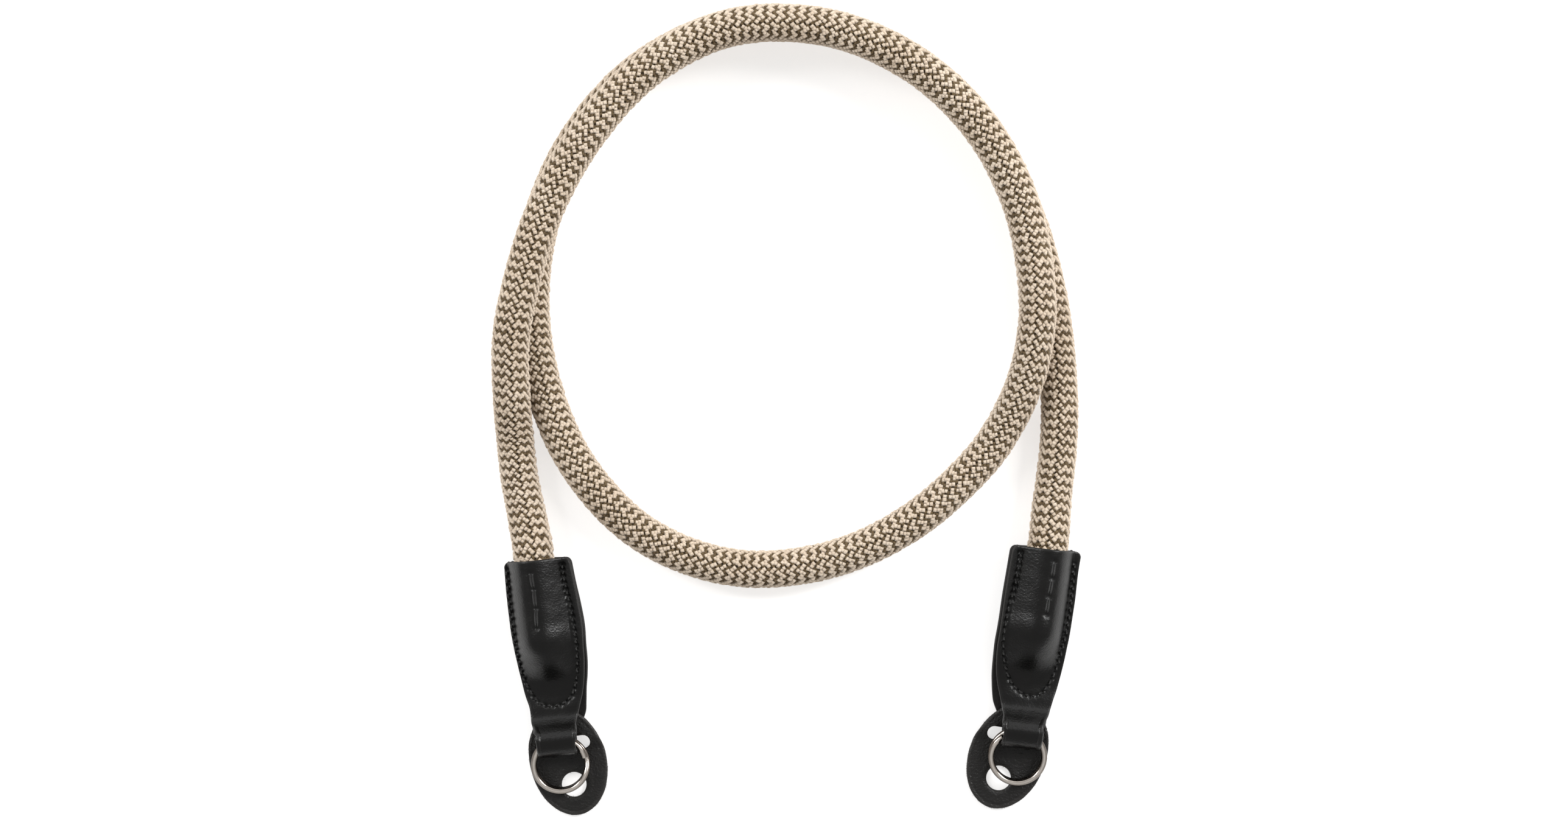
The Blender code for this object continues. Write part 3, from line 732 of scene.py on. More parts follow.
def split_ring_line(end, count=260):
    """Middle of the wire, from the hinge, in the ring's own plane."""
    mean = (RING_OUTER - SPLIT_WIRE) / 2
    half = RING_END_GAP_DEG / 2
    cross = end["ring_cross_deg"] - end["heading_deg"]
    points = []
    for k in range(count):
        angle = half + (720 - 2 * half) * k / (count - 1)
        t = min(max((angle - (360 - half * 0.9)) / (half * 1.8), 0.0), 1.0)
        t = t * t * (3 - 2 * t)
        turn = math.radians(angle + cross)
        inward = 0.34 * MM * max(0.0, 1.0 - (angle - half) / 50.0) ** 1.5
        points.append((
            mean + (mean - inward) * math.cos(turn), (mean - inward) * math.sin(turn), SPLIT_PITCH * (0.5 - t)))
    return np.array(points)


def ring_droop():
    rest_height = FLAP_THICKNESS + 0.3 * MM + (RING_PITCH + RING_WIRE) / 2
    return math.asin((RING_AXIS_HEIGHT - rest_height) / (RING_OUTER - RING_WIRE))


def clear_of_ring(middle, end):
    """Turns the leather's edges up where the wire comes by as the ring swings."""
    hinge = np.array((end["length"] * MM - RING_FROM_FOLD, end["ring_offset"] * MM, RING_AXIS_HEIGHT))
    line = split_ring_line(end)
    line = line[line[:, 0] < 7 * MM]
    flat = middle.reshape(-1, 3) - hinge
    radius = np.hypot(flat[:, 0], flat[:, 2])
    angle = np.arctan2(flat[:, 2], flat[:, 0])
    near = (radius < 7.5 * MM) & (angle > math.radians(-35)) & (angle < math.radians(175))
    from_edge = np.minimum(middle[..., 1] - middle[..., 1].min(axis=1, keepdims=True),
                           middle[..., 1].max(axis=1, keepdims=True) - middle[..., 1]).ravel()
    turned = 1.0 - np.clip(from_edge / (0.45 * MM), 0, 1)
    need = (SPLIT_WIRE + LEATHER) / 2 + 0.06 * MM - 0.45 * MM * (1.0 - np.sqrt(1.0 - turned**2))
    lift = np.zeros(len(flat))
    index = np.flatnonzero(near)
    swings = np.radians(np.linspace(0, 101, 30)) - ring_droop()
    for step in np.arange(0.0, 0.46, 0.025) * MM:
        r = radius[index] + step
        x, y, z = r * np.cos(angle[index]), flat[index, 1], r * np.sin(angle[index])
        gap = np.full(len(index), 1.0)
        for swing in swings:
            here = np.stack([
                x * math.cos(swing) + z * math.sin(swing), y, z * math.cos(swing) - x * math.sin(swing)], -1)
            gap = np.minimum(gap, np.linalg.norm(here[:, None] - line[None], axis=2).min(axis=1))
        lift[index] = step
        index = index[gap < need[index]]
        if not len(index):
            break
    lift = lift.reshape(middle.shape[:2])
    for _ in range(3):
        padded = np.pad(lift, ((2, 2), (0, 0)), mode="edge")
        lift = np.maximum(lift, (padded[:-4] + padded[1:-3] + padded[2:-2] + padded[3:-1] + padded[4:]) / 5)
    way = np.stack([np.cos(angle), np.zeros(len(angle)), np.sin(angle)], -1).reshape(middle.shape)
    return middle + lift[..., None] * way


def strip_row(values, side, turn, fractions, end, scale, fold_start):
    """The middle of the leather across one station, in the end's own frame."""
    raised = end["raised"]
    shift = raised * values["shift"] * MM
    high_side = np.clip(fractions * raised, 0.0, 1.0) ** 2
    low_side = np.clip(-fractions * raised, 0.0, 1.0) ** 2
    if turn is not None:
        wider = np.interp(math.degrees(turn), (-90, -30, 0, 45, 90), FOLD_COVER[end["side"]])
        points = np.empty((len(fractions), 3))
        points[:, 0] = fold_start + EYE_RADIUS * math.cos(turn)
        points[:, 1] = shift + fractions * NECK_HALF_WIDTH - raised * low_side * wider * MM
        points[:, 2] = EYE_RADIUS + LEATHER / 2 + EYE_LIFT + EYE_RADIUS * math.sin(turn)
        return points
    half_width = values["front_half_width" if side > 0 else "back_half_width"]
    v = fractions * half_width * MM
    u = values["u"]
    outline = table_curve(OUTLINE[end["side"]], OUTLINE_COLUMNS, u)
    layer = "front" if side > 0 else "back"
    v = v + raised * (high_side * outline[layer + "_high"] - low_side * outline[layer + "_low"]) * MM
    # Rounded corners at the mouth.
    corner = 1.5
    if u < corner:
        pulled = corner - math.sqrt(corner**2 - (corner - u) ** 2)
        v = v * (1.0 - np.abs(fractions) ** 6 * pulled / half_width)
    seam = values["seam"] * POCKET_SEAM
    from_rope = v + raised * end["rope_offset"] * MM
    seam = seam + np.where(from_rope * raised > 0, 0.9, -0.5) * MM * min(1.0, values["bulge"] / 1.5)
    swell = np.cos(math.pi / 2 * np.clip(from_rope / seam, -1, 1)) ** 1.1
    swell = values["bulge"] * 1.065 * POCKET_BULGE * swell
    swell = np.sqrt(swell**2 + (0.3 * MM) ** 2) - 0.3 * MM  # no crease where the pocket begins
    w = side * (values["half_gap"] * MM + swell)
    if side > 0:
        w = w + outline["rise"] * MM
    roll = math.radians(values["roll_deg"]) * raised
    points = np.empty((len(fractions), 3))
    points[:, 0] = values["u"] * scale * MM
    points[:, 1] = shift + v * math.cos(roll) - w * math.sin(roll)
    points[:, 2] = values["lift"] * MM + v * math.sin(roll) + w * math.cos(roll)
    return points


def leather_strip(end):
    """Mid-surface grid, its outward normals, and mm from the side and mouth edges."""
    table, start, scale, fold_start = strip_table(end["length"])
    inner = np.linspace(-1.0, 1.0, 61)
    near = np.array([0.0, 0.05, 0.12, 0.2, 0.3, 0.42, 0.6, 0.85]) / 9.0
    fractions = np.unique(np.round(np.concatenate([inner, -1 + near, 1 - near]), 5))
    fine = np.concatenate([[0.0, 0.06, 0.14, 0.24, 0.36, 0.5], np.arange(0.8, start - 0.1, 0.32)])
    coarse = np.concatenate([[0.0, 0.06, 0.14, 0.24, 0.36, 0.5], np.arange(1.0, start - 0.1, 0.5)])
    rows, mouth = [], []
    for u in fine:
        values = table_curve(table, TAB_COLUMNS, float(u))
        rows.append(strip_row(values, 1.0, None, fractions, end, scale, fold_start))
        mouth.append(u * scale)
    at_fold = table_curve(table, TAB_COLUMNS, start)
    for turn in np.linspace(math.pi / 2, -math.pi / 2, 33):
        rows.append(strip_row(at_fold, None, turn, fractions, end, scale, fold_start))
        mouth.append(99.0)
    for u in coarse[::-1]:
        values = table_curve(table, TAB_COLUMNS, float(u))
        rows.append(strip_row(values, -1.0, None, fractions, end, scale, fold_start))
        mouth.append(u * scale)
    middle = clear_of_ring(np.array(rows), end)
    d_row = np.gradient(middle, axis=0)
    d_column = np.gradient(middle, axis=1)
    normal = np.cross(d_row, d_column)
    normal /= np.linalg.norm(normal, axis=2)[..., None]
    across = np.concatenate(
        [np.zeros((len(middle), 1)), np.cumsum(np.linalg.norm(np.diff(middle, axis=1), axis=2), axis=1)], axis=1
    )
    side_mm = np.minimum(across, across[:, -1:] - across) / MM
    mouth_mm = np.broadcast_to(np.array(mouth)[:, None], side_mm.shape)
    front = np.arange(len(middle)) < len(fine)
    return middle, normal, side_mm, mouth_mm, front, len(fine)


def rounded(distance_mm, radius_mm):
    """How much the half thickness falls, at a distance in from a rounded rim."""
    d = np.clip(distance_mm / radius_mm, 0.0, 1.0)
    return radius_mm * MM * (1 - np.sqrt(np.clip(1 - (1 - d) ** 2, 0.0, 1.0)))


# Stitch holes on the front, charted as points of the frame: down one
# side from the mouth, round the foot of the pocket and up the other side.
SEAM_ROWS = {
    "left": (
        (923.5, 927), (924, 936), (925.5, 946), (927.5, 957), (930, 968), (932.5, 979), (935, 990),
        (937.5, 1001), (939.5, 1012.5), (941.3, 1024), (943, 1036), (944.8, 1048), (946.3, 1060),
        (947.3, 1072), (948, 1084), (948.2, 1096), (947.6, 1108), (946, 1120), (943.5, 1131.5),
        (939, 1143), (931, 1151.5), (920.5, 1157.8), (908.5, 1159.8), (896.5, 1158.5), (885, 1153.5),
        (876.5, 1144.5), (869.5, 1133.5), (863.5, 1122), (858.5, 1110.5), (854.5, 1098.5), (851, 1086),
        (848, 1073.5), (845.5, 1061), (843.3, 1048.5), (841.5, 1036), (839.8, 1023.5), (838.3, 1011),
        (837, 998.5), (835.8, 986), (834.8, 973.5), (833.8, 961), (833, 948.5), (832, 936),
    ),
    "right": (
        (1677, 907), (1676, 917), (1674.5, 928), (1672.5, 939), (1670, 950.5), (1667.5, 962),
        (1664.5, 973.5), (1661.5, 985), (1658.5, 996.5), (1656, 1008), (1653.5, 1020), (1651.3, 1032),
        (1649.8, 1044), (1649, 1056), (1648.8, 1068), (1649.5, 1080), (1651.3, 1092), (1654.3, 1104),
        (1658.5, 1115.5), (1664.5, 1126), (1672.5, 1134), (1682, 1140.5), (1692.5, 1143.5), (1703.5, 1142.5),
        (1713.5, 1136), (1721.5, 1127), (1728, 1116.5), (1733.5, 1105), (1738, 1093), (1741.8, 1081),
        (1745, 1069), (1748, 1057), (1750.8, 1045), (1753.3, 1033), (1755.5, 1021), (1757.5, 1009),
        (1759.3, 997), (1760.8, 985), (1762, 973), (1763, 961), (1764, 949), (1765, 937), (1766, 925),
    ),
}
# The row of long stitches over the rope, from the mouth.
ROPE_STITCHES = {
    "left": ((871.5, 942), (876.5, 968.5), (880, 1000), (881.8, 1033)),
    "right": ((1732.5, 922), (1729, 950), (1723.5, 980), (1719, 1010)),
}


def surface_points(tree, pixels):
    found = []
    for px, py in pixels:
        place_, direction = sight(px, py)
        hit, normal, _, _ = tree.ray_cast(place_, direction)
        if hit is not None:
            found.append((hit, normal))
    return found


def segment_distance(points, a, b):
    ab = b - a
    t = np.clip(((points - a) @ ab) / max(ab @ ab, 1e-18), 0.0, 1.0)
    return np.linalg.norm(points - (a + t[..., None] * ab), axis=-1)


def capsule(a, b, normal, radius, sink, rings=9, sides=8, arch=0.10 * MM):
    """A stitch: a round thread from hole to hole that dives at both ends."""
    along = (b - a)
    length = np.linalg.norm(along)
    along = along / length
    side = np.cross(normal, along)
    side /= np.linalg.norm(side)
    up = np.cross(along, side)
    t = np.linspace(0.0, 1.0, rings)
    line = a[None] + (b - a)[None] * t[:, None]
    height = arch * np.sin(math.pi * t) - sink * (np.abs(2 * t - 1) ** 4)
    line = line + up[None] * height[:, None]
    size = radius * (1 - 0.35 * np.abs(2 * t - 1) ** 3)
    turn = np.arange(sides) * 2 * math.pi / sides
    ring = side[None] * np.cos(turn)[:, None] + up[None] * np.sin(turn)[:, None]
    points = (line[:, None] + size[:, None, None] * ring[None]).reshape(-1, 3)
    faces = grid_faces(rings, sides, closed=True)
    uv = np.stack([
        np.repeat(t * length / MM, sides), np.tile(np.arange(sides) / sides * 2.0, rings)
    ], -1)
    return points, faces, uv


def join_parts(parts):
    points, faces, uvs, first = [], [], [], 0
    for p, f, u in parts:
        points.append(p)
        faces.append(f + first)
        uvs.append(u)
        first += len(p)
    return np.vstack(points), np.vstack(faces), np.vstack(uvs)


def leather_end(end):
    name = "leather_end_" + end["side"]
    middle, normal, side_mm, mouth_mm, front, fine_rows = leather_strip(end)
    to_world = np.array(end_matrix(end))
    turn = to_world[:3, :3]
    middle = middle @ turn.T + to_world[:3, 3]
    normal = normal @ turn.T
    rows, columns = side_mm.shape

    edge_radius = 0.42
    fall = np.maximum(rounded(side_mm, edge_radius), rounded(mouth_mm, edge_radius))
    half = LEATHER / 2 - fall
    outer = middle + normal * half[..., None]
    inner = middle - normal * half[..., None]

    # A first, smooth outer surface, to find where the stitches lie on it.
    faces = grid_faces(rows, columns)
    tree = BVHTree.FromPolygons([tuple(p) for p in outer.reshape(-1, 3)], [tuple(f) for f in faces.tolist()])
    seam = surface_points(tree, SEAM_ROWS[end["side"]])
    long_row = surface_points(tree, ROPE_STITCHES[end["side"]])

    # The seam pulls the leather in, deepest at the holes; the same on the back.
    sink = np.zeros((rows, columns))
    pit = np.zeros((rows, columns))
    flat = outer.reshape(-1, 3)
    back_seam = []
    for hit, direction in seam:
        from_below, below_normal, _, _ = tree.ray_cast(Vector((hit.x, hit.y, -0.01)), Vector((0, 0, 1)))
        if from_below is not None:
            back_seam.append((from_below, below_normal))
    for line, gap in ((seam, 3.2 * MM), (back_seam, 3.2 * MM)):
        for (a, _), (b, _) in zip(line, line[1:]):
            a, b = np.array(a), np.array(b)
            if np.linalg.norm(b - a) > gap:
                continue
            d = segment_distance(flat, a, b).reshape(rows, columns) / MM
            sink = np.maximum(sink, 0.10 * np.exp(-(d / 0.6) ** 2) + 0.12 * np.exp(-(d / 1.5) ** 2))
        for a, _ in line:
            d = np.linalg.norm(flat - np.array(a), axis=1).reshape(rows, columns) / MM
            pit = np.maximum(pit, rng.uniform(0.42, 0.66) * np.exp(-(d / rng.uniform(0.34, 0.58)) ** 2))
    for (a, _), (b, _) in zip(long_row, long_row[1:]):
        d = segment_distance(flat, np.array(a), np.array(b)).reshape(rows, columns) / MM
        sink = np.maximum(sink, 0.13 * np.exp(-(d / 0.75) ** 2))
    for a, _ in long_row:
        d = np.linalg.norm(flat - np.array(a), axis=1).reshape(rows, columns) / MM
        pit = np.maximum(pit, 0.45 * np.exp(-(d / 0.5) ** 2))
    outer = outer - normal * ((sink + pit) * MM)[..., None]
    # Painted shade: a mask that darkens the stitch holes in colour.
    dark = np.clip(pit * 2.6 - 0.45, 0.0, 1.0)

    # Soft creases, fading out near the edges.
    u = outer[..., 0] / MM
    v = outer[..., 1] / MM
    creases = (
        0.012 * np.sin(1.1 * v + 1.3 * np.sin(0.6 * u) + end["raised"])
        + 0.008 * np.sin(1.7 * u - 0.8 * v + 2.0 * np.sin(0.35 * v))
    )
    calm = np.clip(side_mm / 1.2, 0, 1) * np.clip(mouth_mm / 1.5, 0, 1)
    outer = outer + normal * (creases * calm * MM)[..., None]

    # Outer and inner skins in one closed body, joined round all four edges.
    count = rows * columns
    points = np.vstack([outer.reshape(-1, 3), inner.reshape(-1, 3)])
    skins = [faces, faces[:, ::-1] + count]
    i = np.arange(rows - 1)
    for column, flip in ((0, False), (columns - 1, True)):
        a = i * columns + column
        b = (i + 1) * columns + column
        strip = np.stack([a, b, b + count, a + count], -1)
        skins.append(strip[:, ::-1] if flip else strip)
    j = np.arange(columns - 1)
    for row, flip in ((0, True), (rows - 1, False)):
        a = row * columns + j
        b = a + 1
        strip = np.stack([a, b, b + count, a + count], -1)
        skins.append(strip[:, ::-1] if flip else strip)
    # The neck, past the foot of the pocket, is less polished.
    u_mm = np.where(mouth_mm > 90.0, 60.0, mouth_mm)
    matt = np.clip((u_mm - 34.0) / 7.0, 0.0, 1.0) * np.ones_like(side_mm)
    rim = np.minimum(side_mm, mouth_mm)
    edge = np.clip(1.0 - rim / 0.22, 0.0, 1.0)
    # A lighter band where the rounded edge meets the face: partly wear, partly a painted highlight.
    wear_and_highlight = 0.55 * np.exp(-((rim - 0.42) / 0.22) ** 2)
    marks = {
        "edge": np.concatenate([edge.ravel(), np.maximum(edge, 0.6).ravel()]),
        "wear_and_highlight": np.concatenate([wear_and_highlight.ravel(), np.zeros(count)]),
        "pit": np.concatenate([dark.ravel(), np.zeros(count)]),
        "matt": np.concatenate([matt.ravel(), matt.ravel()]),
    }
    obj = mesh_piece(name + "_leather", points, np.vstack(skins), [LEATHER_BLACK], marks=marks)
    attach(obj, "strap")
    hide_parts(name)

    # Threads: saddle stitches from hole to hole.
    threads = []
    for line in (seam, back_seam):
        for (a, na), (b, nb) in zip(line, line[1:]):
            a, b = np.array(a), np.array(b)
            gap = np.linalg.norm(b - a)
            if gap > 3.2 * MM:
                continue
            direction = np.array(na) + np.array(nb)
            direction /= np.linalg.norm(direction)
            if line is back_seam and direction[2] > 0:
                direction = -direction
            if line is seam and direction[2] < 0:
                direction = -direction
            # Short saddle stitches, each a little slanted to the row.
            inset = (b - a) * (0.24 + 0.03 * rng.standard_normal())
            slant = np.cross(direction, (b - a) / gap) * (0.20 + 0.05 * rng.standard_normal()) * MM
            low = direction * 0.13 * MM
            threads.append(capsule(a + inset - slant - low, b - inset + slant - low,
                                   direction, 0.29 * MM, 0.30 * MM, arch=0.14 * MM))
    for (a, na), (b, nb) in zip(long_row, long_row[1:]):
        a, b = np.array(a), np.array(b)
        direction = np.array(na) + np.array(nb)
        direction /= np.linalg.norm(direction)
        if direction[2] < 0:
            direction = -direction
        inset = (b - a) * 0.06
        side = np.cross(direction, (b - a) / np.linalg.norm(b - a))
        for offset in (-0.27, 0.27):
            move = side * offset * MM - direction * 0.17 * MM
            threads.append(capsule(a + inset + move, b - inset + move, direction, 0.30 * MM, 0.36 * MM, rings=15))
    points, faces, uv = join_parts(threads)
    sewn = mesh_piece(name + "_stitches", points, faces, [THREAD], uv=uv)
    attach(sewn, "strap")


for end in ENDS:
    leather_end(end)


# ---------------------------------------------------------------- guard flaps
def oval_ring(half_x, half_y, count):
    turn = np.arange(count) * 2 * math.pi / count
    return np.stack([half_x * np.cos(turn), half_y * np.sin(turn)], -1)


def slot_ring(centre, angle, length, width, count=14):
    points = []
    for end, start in ((1, -math.pi / 2), (-1, math.pi / 2)):
        for k in range(count + 1):
            turn = start + math.pi * k / count
            points.append((
                end * (length - width) / 2 + width / 2 * math.cos(turn),
                width / 2 * math.sin(turn),
            ))
    points = np.array(points)
    rotate = np.array([[math.cos(angle), math.sin(angle)], [-math.sin(angle), math.cos(angle)]])
    return points @ rotate + np.array(centre)


def guard_flap(end):
    name = "guard_flap_" + end["side"]
    tilt = math.radians(end["flap_tilt_deg"])
    place_ = Matrix.Translation(Vector((end["flap_x"], end["flap_y"], 0.0)) * MM) @ Matrix.Rotation(tilt, 4, "Z")
    slot_centre = place_.inverted() @ (Vector((end["slot_x"], end["slot_y"], 0.0)) * MM)
    slot_angle = math.radians(end["slot_deg"]) - tilt
    insets = (0.0, 0.05, 0.13, 0.24, 0.4, 0.65, 0.9, 1.15, 1.4)

    # Rings inside each cut edge, then a grid over the rest of the disc.
    wobble_at = np.arange(240) * 2 * math.pi / 240
    wobble = MM * (
        0.022 * np.sin(7 * wobble_at + end["raised"]) + 0.018 * np.sin(17 * wobble_at + 1.0)
        + 0.016 * np.sin(37 * wobble_at) + 0.016 * np.sin(59 * wobble_at + 2.0))
    loops = []
    points = []
    for inset in insets:
        ring = oval_ring(FLAP_WIDTH / 2 - inset * MM, FLAP_LENGTH / 2 - inset * MM, 240)
        radial = ring / np.linalg.norm(ring, axis=1)[:, None]
        ring = ring + radial * (wobble * max(0.0, 1 - inset / 0.9))[:, None]
        loops.append(("rim", inset, ring))
    for inset in insets[:6]:
        loops.append(("slot", inset, slot_ring(
            (slot_centre.x, slot_centre.y), slot_angle, SLOT_LENGTH + 2 * inset * MM, SLOT_WIDTH + 2 * inset * MM)))
        turn = np.arange(56) * 2 * math.pi / 56
        radius = LUG_HOLE / 2 + inset * MM
        loops.append(("hole", inset, np.stack([
            radius * np.cos(turn), radius * np.sin(turn) - LUG_HOLE_FROM_CENTRE], -1)))
    edges = []
    for kind, inset, ring in loops:
        first = len(points)
        points += [tuple(p) for p in ring]
        if inset == 0.0:
            edges += [(first + k, first + (k + 1) % len(ring)) for k in range(len(ring))]
    step = 0.55 * MM
    hole = np.array((0.0, -LUG_HOLE_FROM_CENTRE))
    axis = np.array((math.cos(slot_angle), math.sin(slot_angle)))
    centre = np.array((slot_centre.x, slot_centre.y))

    def distances(p):
        """mm from the rim, the slot and the lug hole, each positive in leather."""
        p = np.atleast_2d(p)
        r = np.linalg.norm(p / np.array((FLAP_WIDTH / 2, FLAP_LENGTH / 2)), axis=1)
        slope = np.linalg.norm(p / np.array(((FLAP_WIDTH / 2) ** 2, (FLAP_LENGTH / 2) ** 2)), axis=1)
        rim = np.where(slope > 1e-6, (1 - r) * r / np.maximum(slope, 1e-6), 1.0)
        q = p - centre
        t = np.clip(q @ axis, -(SLOT_LENGTH - SLOT_WIDTH) / 2, (SLOT_LENGTH - SLOT_WIDTH) / 2)
        slot = np.linalg.norm(q - t[:, None] * axis, axis=1) - SLOT_WIDTH / 2
        lug = np.linalg.norm(p - hole, axis=1) - LUG_HOLE / 2
        return rim / MM, slot / MM, lug / MM

    row = 0
    y = -FLAP_LENGTH / 2
    while y < FLAP_LENGTH / 2:
        x = -FLAP_WIDTH / 2 + (row % 2) * step / 2
        while x < FLAP_WIDTH / 2:
            rim, slot, lug = distances(np.array((x, y)))
            if rim[0] > 1.6 and slot[0] > 0.9 and lug[0] > 0.9:
                points.append((x, y))
            x += step
        y += step * 0.87
        row += 1
    scaled = [Vector((p[0] * 1000, p[1] * 1000)) for p in points]
    found, _, triangles, *_ = delaunay_2d_cdt(scaled, edges, [], 0, 1e-5)
    flat = np.array([(p.x, p.y) for p in found]) * MM
    triangles = np.array([tuple(t) for t in triangles])
    middles = flat[triangles].mean(axis=1)
    rim, slot, lug = distances(middles)
    triangles = triangles[(rim > -0.25) & (slot > 0) & (lug > 0)]
    used = np.unique(triangles)
    renumber = np.full(len(flat), -1)
    renumber[used] = np.arange(len(used))
    flat, triangles = flat[used], renumber[triangles]
    rim, slot, lug = distances(flat)
    # Boundary edges: those of one triangle only.
    ends = np.concatenate([triangles[:, [0, 1]], triangles[:, [1, 2]], triangles[:, [2, 0]]])
    key = np.sort(ends, axis=1)
    _, index, counts = np.unique(key, axis=0, return_index=True, return_counts=True)
    border = ends[index[counts == 1]]
    on_border = np.zeros(len(flat), bool)
    on_border[border.ravel()] = True
    nearest = np.minimum(np.minimum(np.maximum(rim, 0), np.maximum(slot, 0)), np.maximum(lug, 0))
    nearest[on_border] = 0.0

    to_end = end_matrix(end).inverted() @ (Matrix.Translation(CENTRE_SHIFT) @ place_)
    to_end = np.array(to_end)
    local = np.column_stack([flat, np.zeros(len(flat)), np.ones(len(flat))]) @ to_end.T
    bend_start = end["length"] * MM - 4.0 * MM
    bend_end = end["length"] * MM - 0.7 * MM
    t = np.clip((bend_end - local[:, 0]) / (bend_end - bend_start), 0.0, 1.0)
    height = FLAP_THICKNESS / 2 + FLAP_RAISE * t * t * (3 - 2 * t)

    near_hole = np.exp(-((np.maximum(lug, 0.0) / 1.6) ** 2))
    half = FLAP_THICKNESS / 2 - rounded(nearest, 0.40 + 0.22 * near_hole)
    # A creased line inside the rim, and slightly swollen leather beyond it.
    line = -0.12 * MM * np.exp(-((rim - 1.05) / 0.16) ** 2)
    line = line + 0.12 * MM * np.exp(-((lug - 1.15) / 0.5) ** 2) * (rim > 1.2)
    swell = 0.05 * MM * np.sin(local[:, 0] / MM * 0.55) * np.cos(local[:, 1] / MM * 0.6)
    swell *= np.clip(nearest / 1.2, 0, 1)
    top = local[:, :3].copy()
    top[:, 2] = height + half + line + swell
    bottom = local[:, :3].copy()
    bottom[:, 2] = height - half
    to_world = np.array(end_matrix(end))
    top = top @ to_world[:3, :3].T + to_world[:3, 3]
    bottom = bottom @ to_world[:3, :3].T + to_world[:3, 3]
    count = len(flat)
    # Make the top's triangles face up.
    a, b, c = (top[triangles[:, k]] for k in range(3))
    if np.cross(b - a, c - a)[:, 2].sum() < 0:
        triangles = triangles[:, ::-1]
        border = border[:, ::-1]
    walls = np.vstack([
        np.stack([border[:, 1], border[:, 0], border[:, 0] + count], -1),
        np.stack([border[:, 1], border[:, 0] + count, border[:, 1] + count], -1),
    ])
    faces = np.vstack([triangles, triangles[:, ::-1] + count, walls])
    edge = np.clip(1.0 - nearest / 0.20, 0.0, 1.0)
    # Lighter lines inside the rim and round the cut edges: partly wear, partly a painted highlight.
    wear_and_highlight = np.maximum(
        0.30 * np.exp(-((rim - 0.75) / 0.2) ** 2), 0.5 * np.exp(-((nearest - 0.38) / 0.2) ** 2))
    marks = {
        "edge": np.concatenate([edge, np.maximum(edge, 0.5)]),
        "wear_and_highlight": np.concatenate([wear_and_highlight, np.zeros(count)]),
        "pit": np.zeros(2 * count),
        "matt": np.zeros(2 * count),
    }
    obj = mesh_piece(name + "_leather", np.vstack([top, bottom]), faces, [FLAP_BLACK], marks=marks)
    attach(obj, "strap")
    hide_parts(name)

    # Loose fibres along the cut rim and in the lug hole.
    roots, ways = [], []
    for kind, inset, ring in loops:
        if inset > 0.0:
            continue
        amount = {"rim": 210, "slot": 26, "hole": 44}[kind]
        middle = {"rim": np.zeros(2), "slot": centre, "hole": hole}[kind]
        for _ in range(amount):
            at = rng.uniform(0, len(ring))
            a, b = ring[int(at) % len(ring)], ring[(int(at) + 1) % len(ring)]
            root = a + (b - a) * (at % 1.0)
            out = np.array([(b - a)[1], -(b - a)[0]])
            out /= np.linalg.norm(out)
            if (out @ (root - middle) < 0) == (kind == "rim"):
                out = -out
            lean = rng.uniform(-1.1, 1.1)
            way = np.array([
                out[0] * math.cos(lean) - out[1] * math.sin(lean), out[0] * math.sin(lean) + out[1] * math.cos(lean)])
            roots.append(root - out * 0.15 * MM)
            ways.append(way)
    roots, ways = np.array(roots), np.array(ways)
    number = len(roots)
    base = np.column_stack([roots, np.zeros(number), np.ones(number)]) @ to_end.T
    bend = np.clip((bend_end - base[:, 0]) / (bend_end - bend_start), 0.0, 1.0)
    base[:, 2] = FLAP_THICKNESS * rng.uniform(0.25, 0.85, number) + FLAP_RAISE * bend * bend * (3 - 2 * bend)
    heading = np.column_stack([ways, np.zeros((number, 2))]) @ to_end.T
    start = base[:, :3] @ to_world[:3, :3].T + to_world[:3, 3]
    way = heading[:, :3] @ to_world[:3, :3].T
    long_ = np.abs(rng.normal(0.22, 0.17, number)) * MM + 0.13 * MM
    way[:, 2] = rng.uniform(-0.35, 0.25, number)
    curl = rng.normal(0.0, 0.35, (number, 1)) * np.cross(way, [0.0, 0.0, 1.0])
    obj = hairs(name + "_fibres", start, way, curl, long_, 0.030 * MM, FLAP_BLACK)
    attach(obj, "strap")


for end in ENDS:
    guard_flap(end)


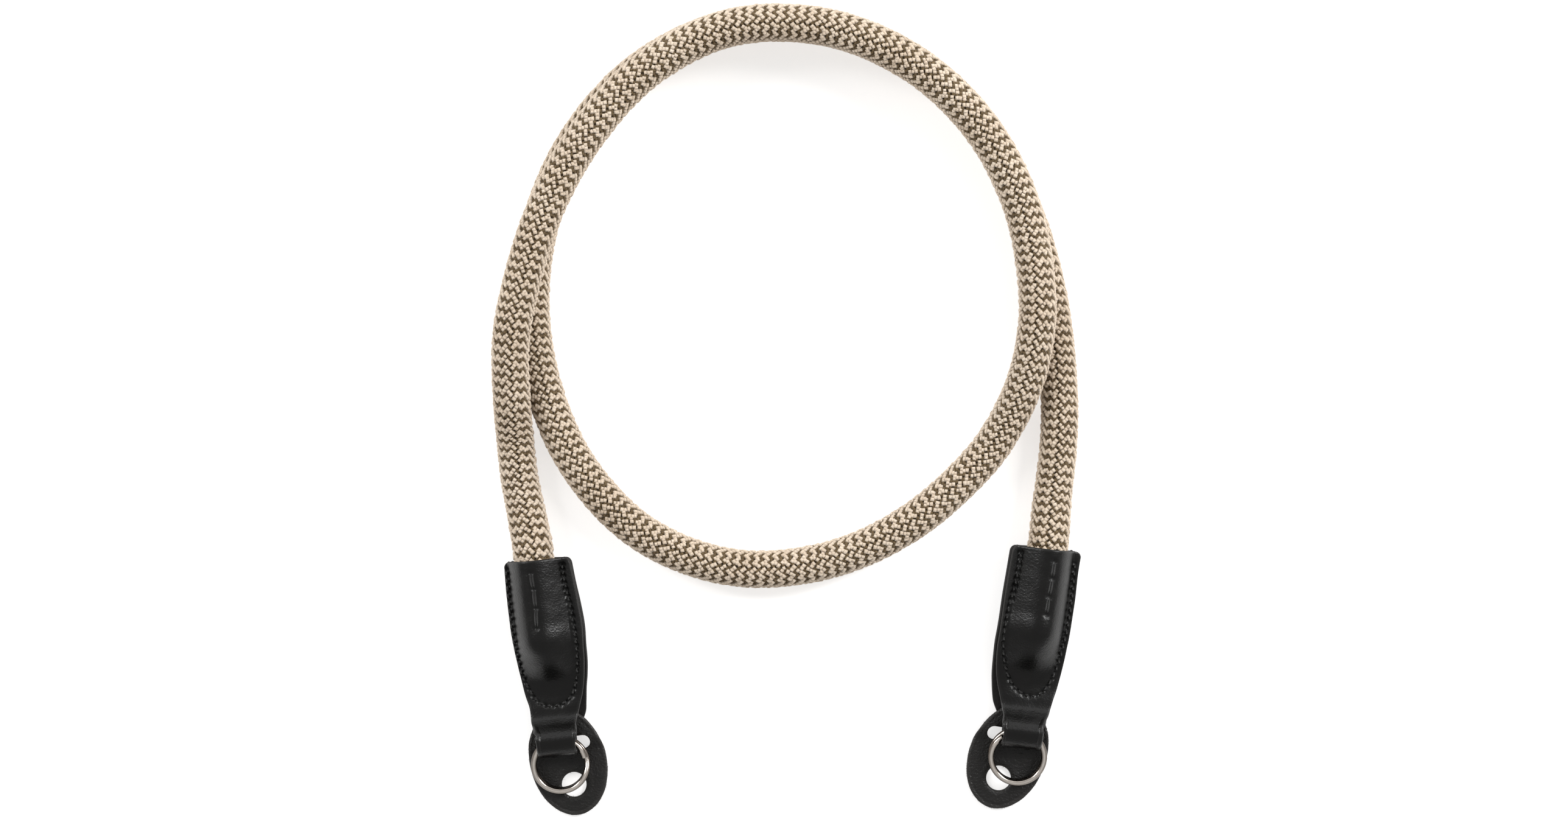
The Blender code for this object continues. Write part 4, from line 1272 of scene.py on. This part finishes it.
# ---------------------------------------------------------------- split rings
def split_ring(end):
    """Two turns of round wire, its two ends cut square with a small chamfer."""
    name = "split_ring_" + end["side"]
    wire = SPLIT_WIRE
    count, sides = 260, 28
    points = split_ring_line(end, count)
    hinge = end_matrix(end) @ Matrix.Translation(
        Vector((end["length"] * MM - RING_FROM_FOLD, end["ring_offset"] * MM, RING_AXIS_HEIGHT))
    ) @ Matrix.Rotation(ring_droop(), 4, "Y")
    hinge = np.array(hinge)
    points = points @ hinge[:3, :3].T + hinge[:3, 3]
    axis = hinge[:3, 2]
    along = np.gradient(points, axis=0)
    along /= np.linalg.norm(along, axis=1)[:, None]
    side = np.cross(along, axis)
    side /= np.linalg.norm(side, axis=1)[:, None]
    up = np.cross(side, along)
    size = np.full(count, wire / 2)
    turn = np.arange(sides) * 2 * math.pi / sides
    ring = side[:, None] * np.cos(turn)[None, :, None] + up[:, None] * np.sin(turn)[None, :, None]
    body = points[:, None] + size[:, None, None] * ring
    # Square ends with a chamfer.
    first = [points[0] + 0.72 * (body[0] - points[0]), points[0] + 0.94 * (body[0] - points[0])]
    last = [points[-1] + 0.94 * (body[-1] - points[-1]), points[-1] + 0.72 * (body[-1] - points[-1])]
    push = 0.10 * MM
    body = np.concatenate([
        [first[0] - along[0] * push, first[1] - along[0] * push * 0.7], body,
        [last[0] + along[-1] * push * 0.7, last[1] + along[-1] * push],
    ])
    rows = len(body)
    run_mm = np.concatenate([[0.0], np.cumsum(np.linalg.norm(np.diff(body[:, 0], axis=0), axis=1))]) / MM
    flat = np.vstack([body.reshape(-1, 3), body[0].mean(axis=0), body[-1].mean(axis=0)])
    quads = grid_faces(rows, sides, closed=True)
    j = np.arange(sides)
    k = (j + 1) % sides
    end_row = (rows - 1) * sides
    top = rows * sides
    triangles = np.vstack([
        quads[:, [0, 1, 2]], quads[:, [0, 2, 3]],
        np.stack([k, j, np.full(sides, top)], -1),
        np.stack([end_row + j, end_row + k, np.full(sides, top + 1)], -1),
    ])
    uv = np.vstack([
        np.stack([np.repeat(run_mm, sides), np.tile(np.abs(np.arange(sides) - sides / 2) / sides, rows)], -1),
        [[0.0, 0.0], [0.0, 0.0]],
    ])
    # Painted highlight along the crown of the wire, painted shade on its flanks.
    crown = np.concatenate([np.tile(np.abs(np.sin(turn)) ** 6, rows), [0.5, 0.5]])
    obj = mesh_piece(name + "_wire", flat, triangles, [METAL], uv=uv, marks={"wear_and_highlight": crown})
    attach(obj, "ring_" + end["side"])
    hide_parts(name)


for end in ENDS:
    split_ring(end)


# ---------------------------------------------------------- floor and lights
floor_material, floor_tree, floor_shader = material("pale_floor", (0.64, 0.635, 0.63), 0.7, specular=0.2)
floor_tree.links.new(
    ramp(floor_tree, noise(floor_tree, place(floor_tree), 14.0, 2.0, 0.5),
         ((0.3, (0.63, 0.625, 0.62)), (0.7, (0.655, 0.65, 0.645)))),
    floor_shader.inputs["Base Color"])
floor_shader.inputs["Emission Color"].default_value = (1.0, 0.995, 0.99, 1.0)
floor_shader.inputs["Emission Strength"].default_value = 0.60
floor = mesh_piece(
    "floor", [(-4, -4, 0), (4, -4, 0), (4, 4, 0), (-4, 4, 0)], [(0, 1, 2, 3)], [floor_material], smooth=False)


def area_light(name, location, target, size, power, colour=(1.0, 1.0, 1.0)):
    data = bpy.data.lights.new(name, "AREA")
    data.shape = "RECTANGLE"
    data.size, data.size_y = size
    data.energy = power
    data.color = colour
    obj = bpy.data.objects.new(name, data)
    obj.location = location
    obj.rotation_euler = (Vector(target) - Vector(location)).to_track_quat("-Z", "Y").to_euler()
    bpy.context.scene.collection.objects.link(obj)


area_light("softbox_top", (0.0, 0.95, 0.66), (0.0, 0.0, 0.0), (1.3, 0.6), 3.4)
area_light("softbox_left", (-0.85, 0.45, 0.66), (0.0, 0.1, 0.0), (0.26, 0.70), 6.6)
area_light("softbox_right", (0.85, 0.45, 0.66), (0.0, 0.1, 0.0), (0.26, 0.70), 11.0)

world = bpy.data.worlds.new("studio")
world.use_nodes = True
world.node_tree.nodes["Background"].inputs["Color"].default_value = (1.0, 0.995, 0.985, 1.0)
world.node_tree.nodes["Background"].inputs["Strength"].default_value = 0.47
bpy.context.scene.world = world
bpy.context.scene.view_settings.view_transform = "Standard"
bpy.context.scene.view_settings.look = "None"
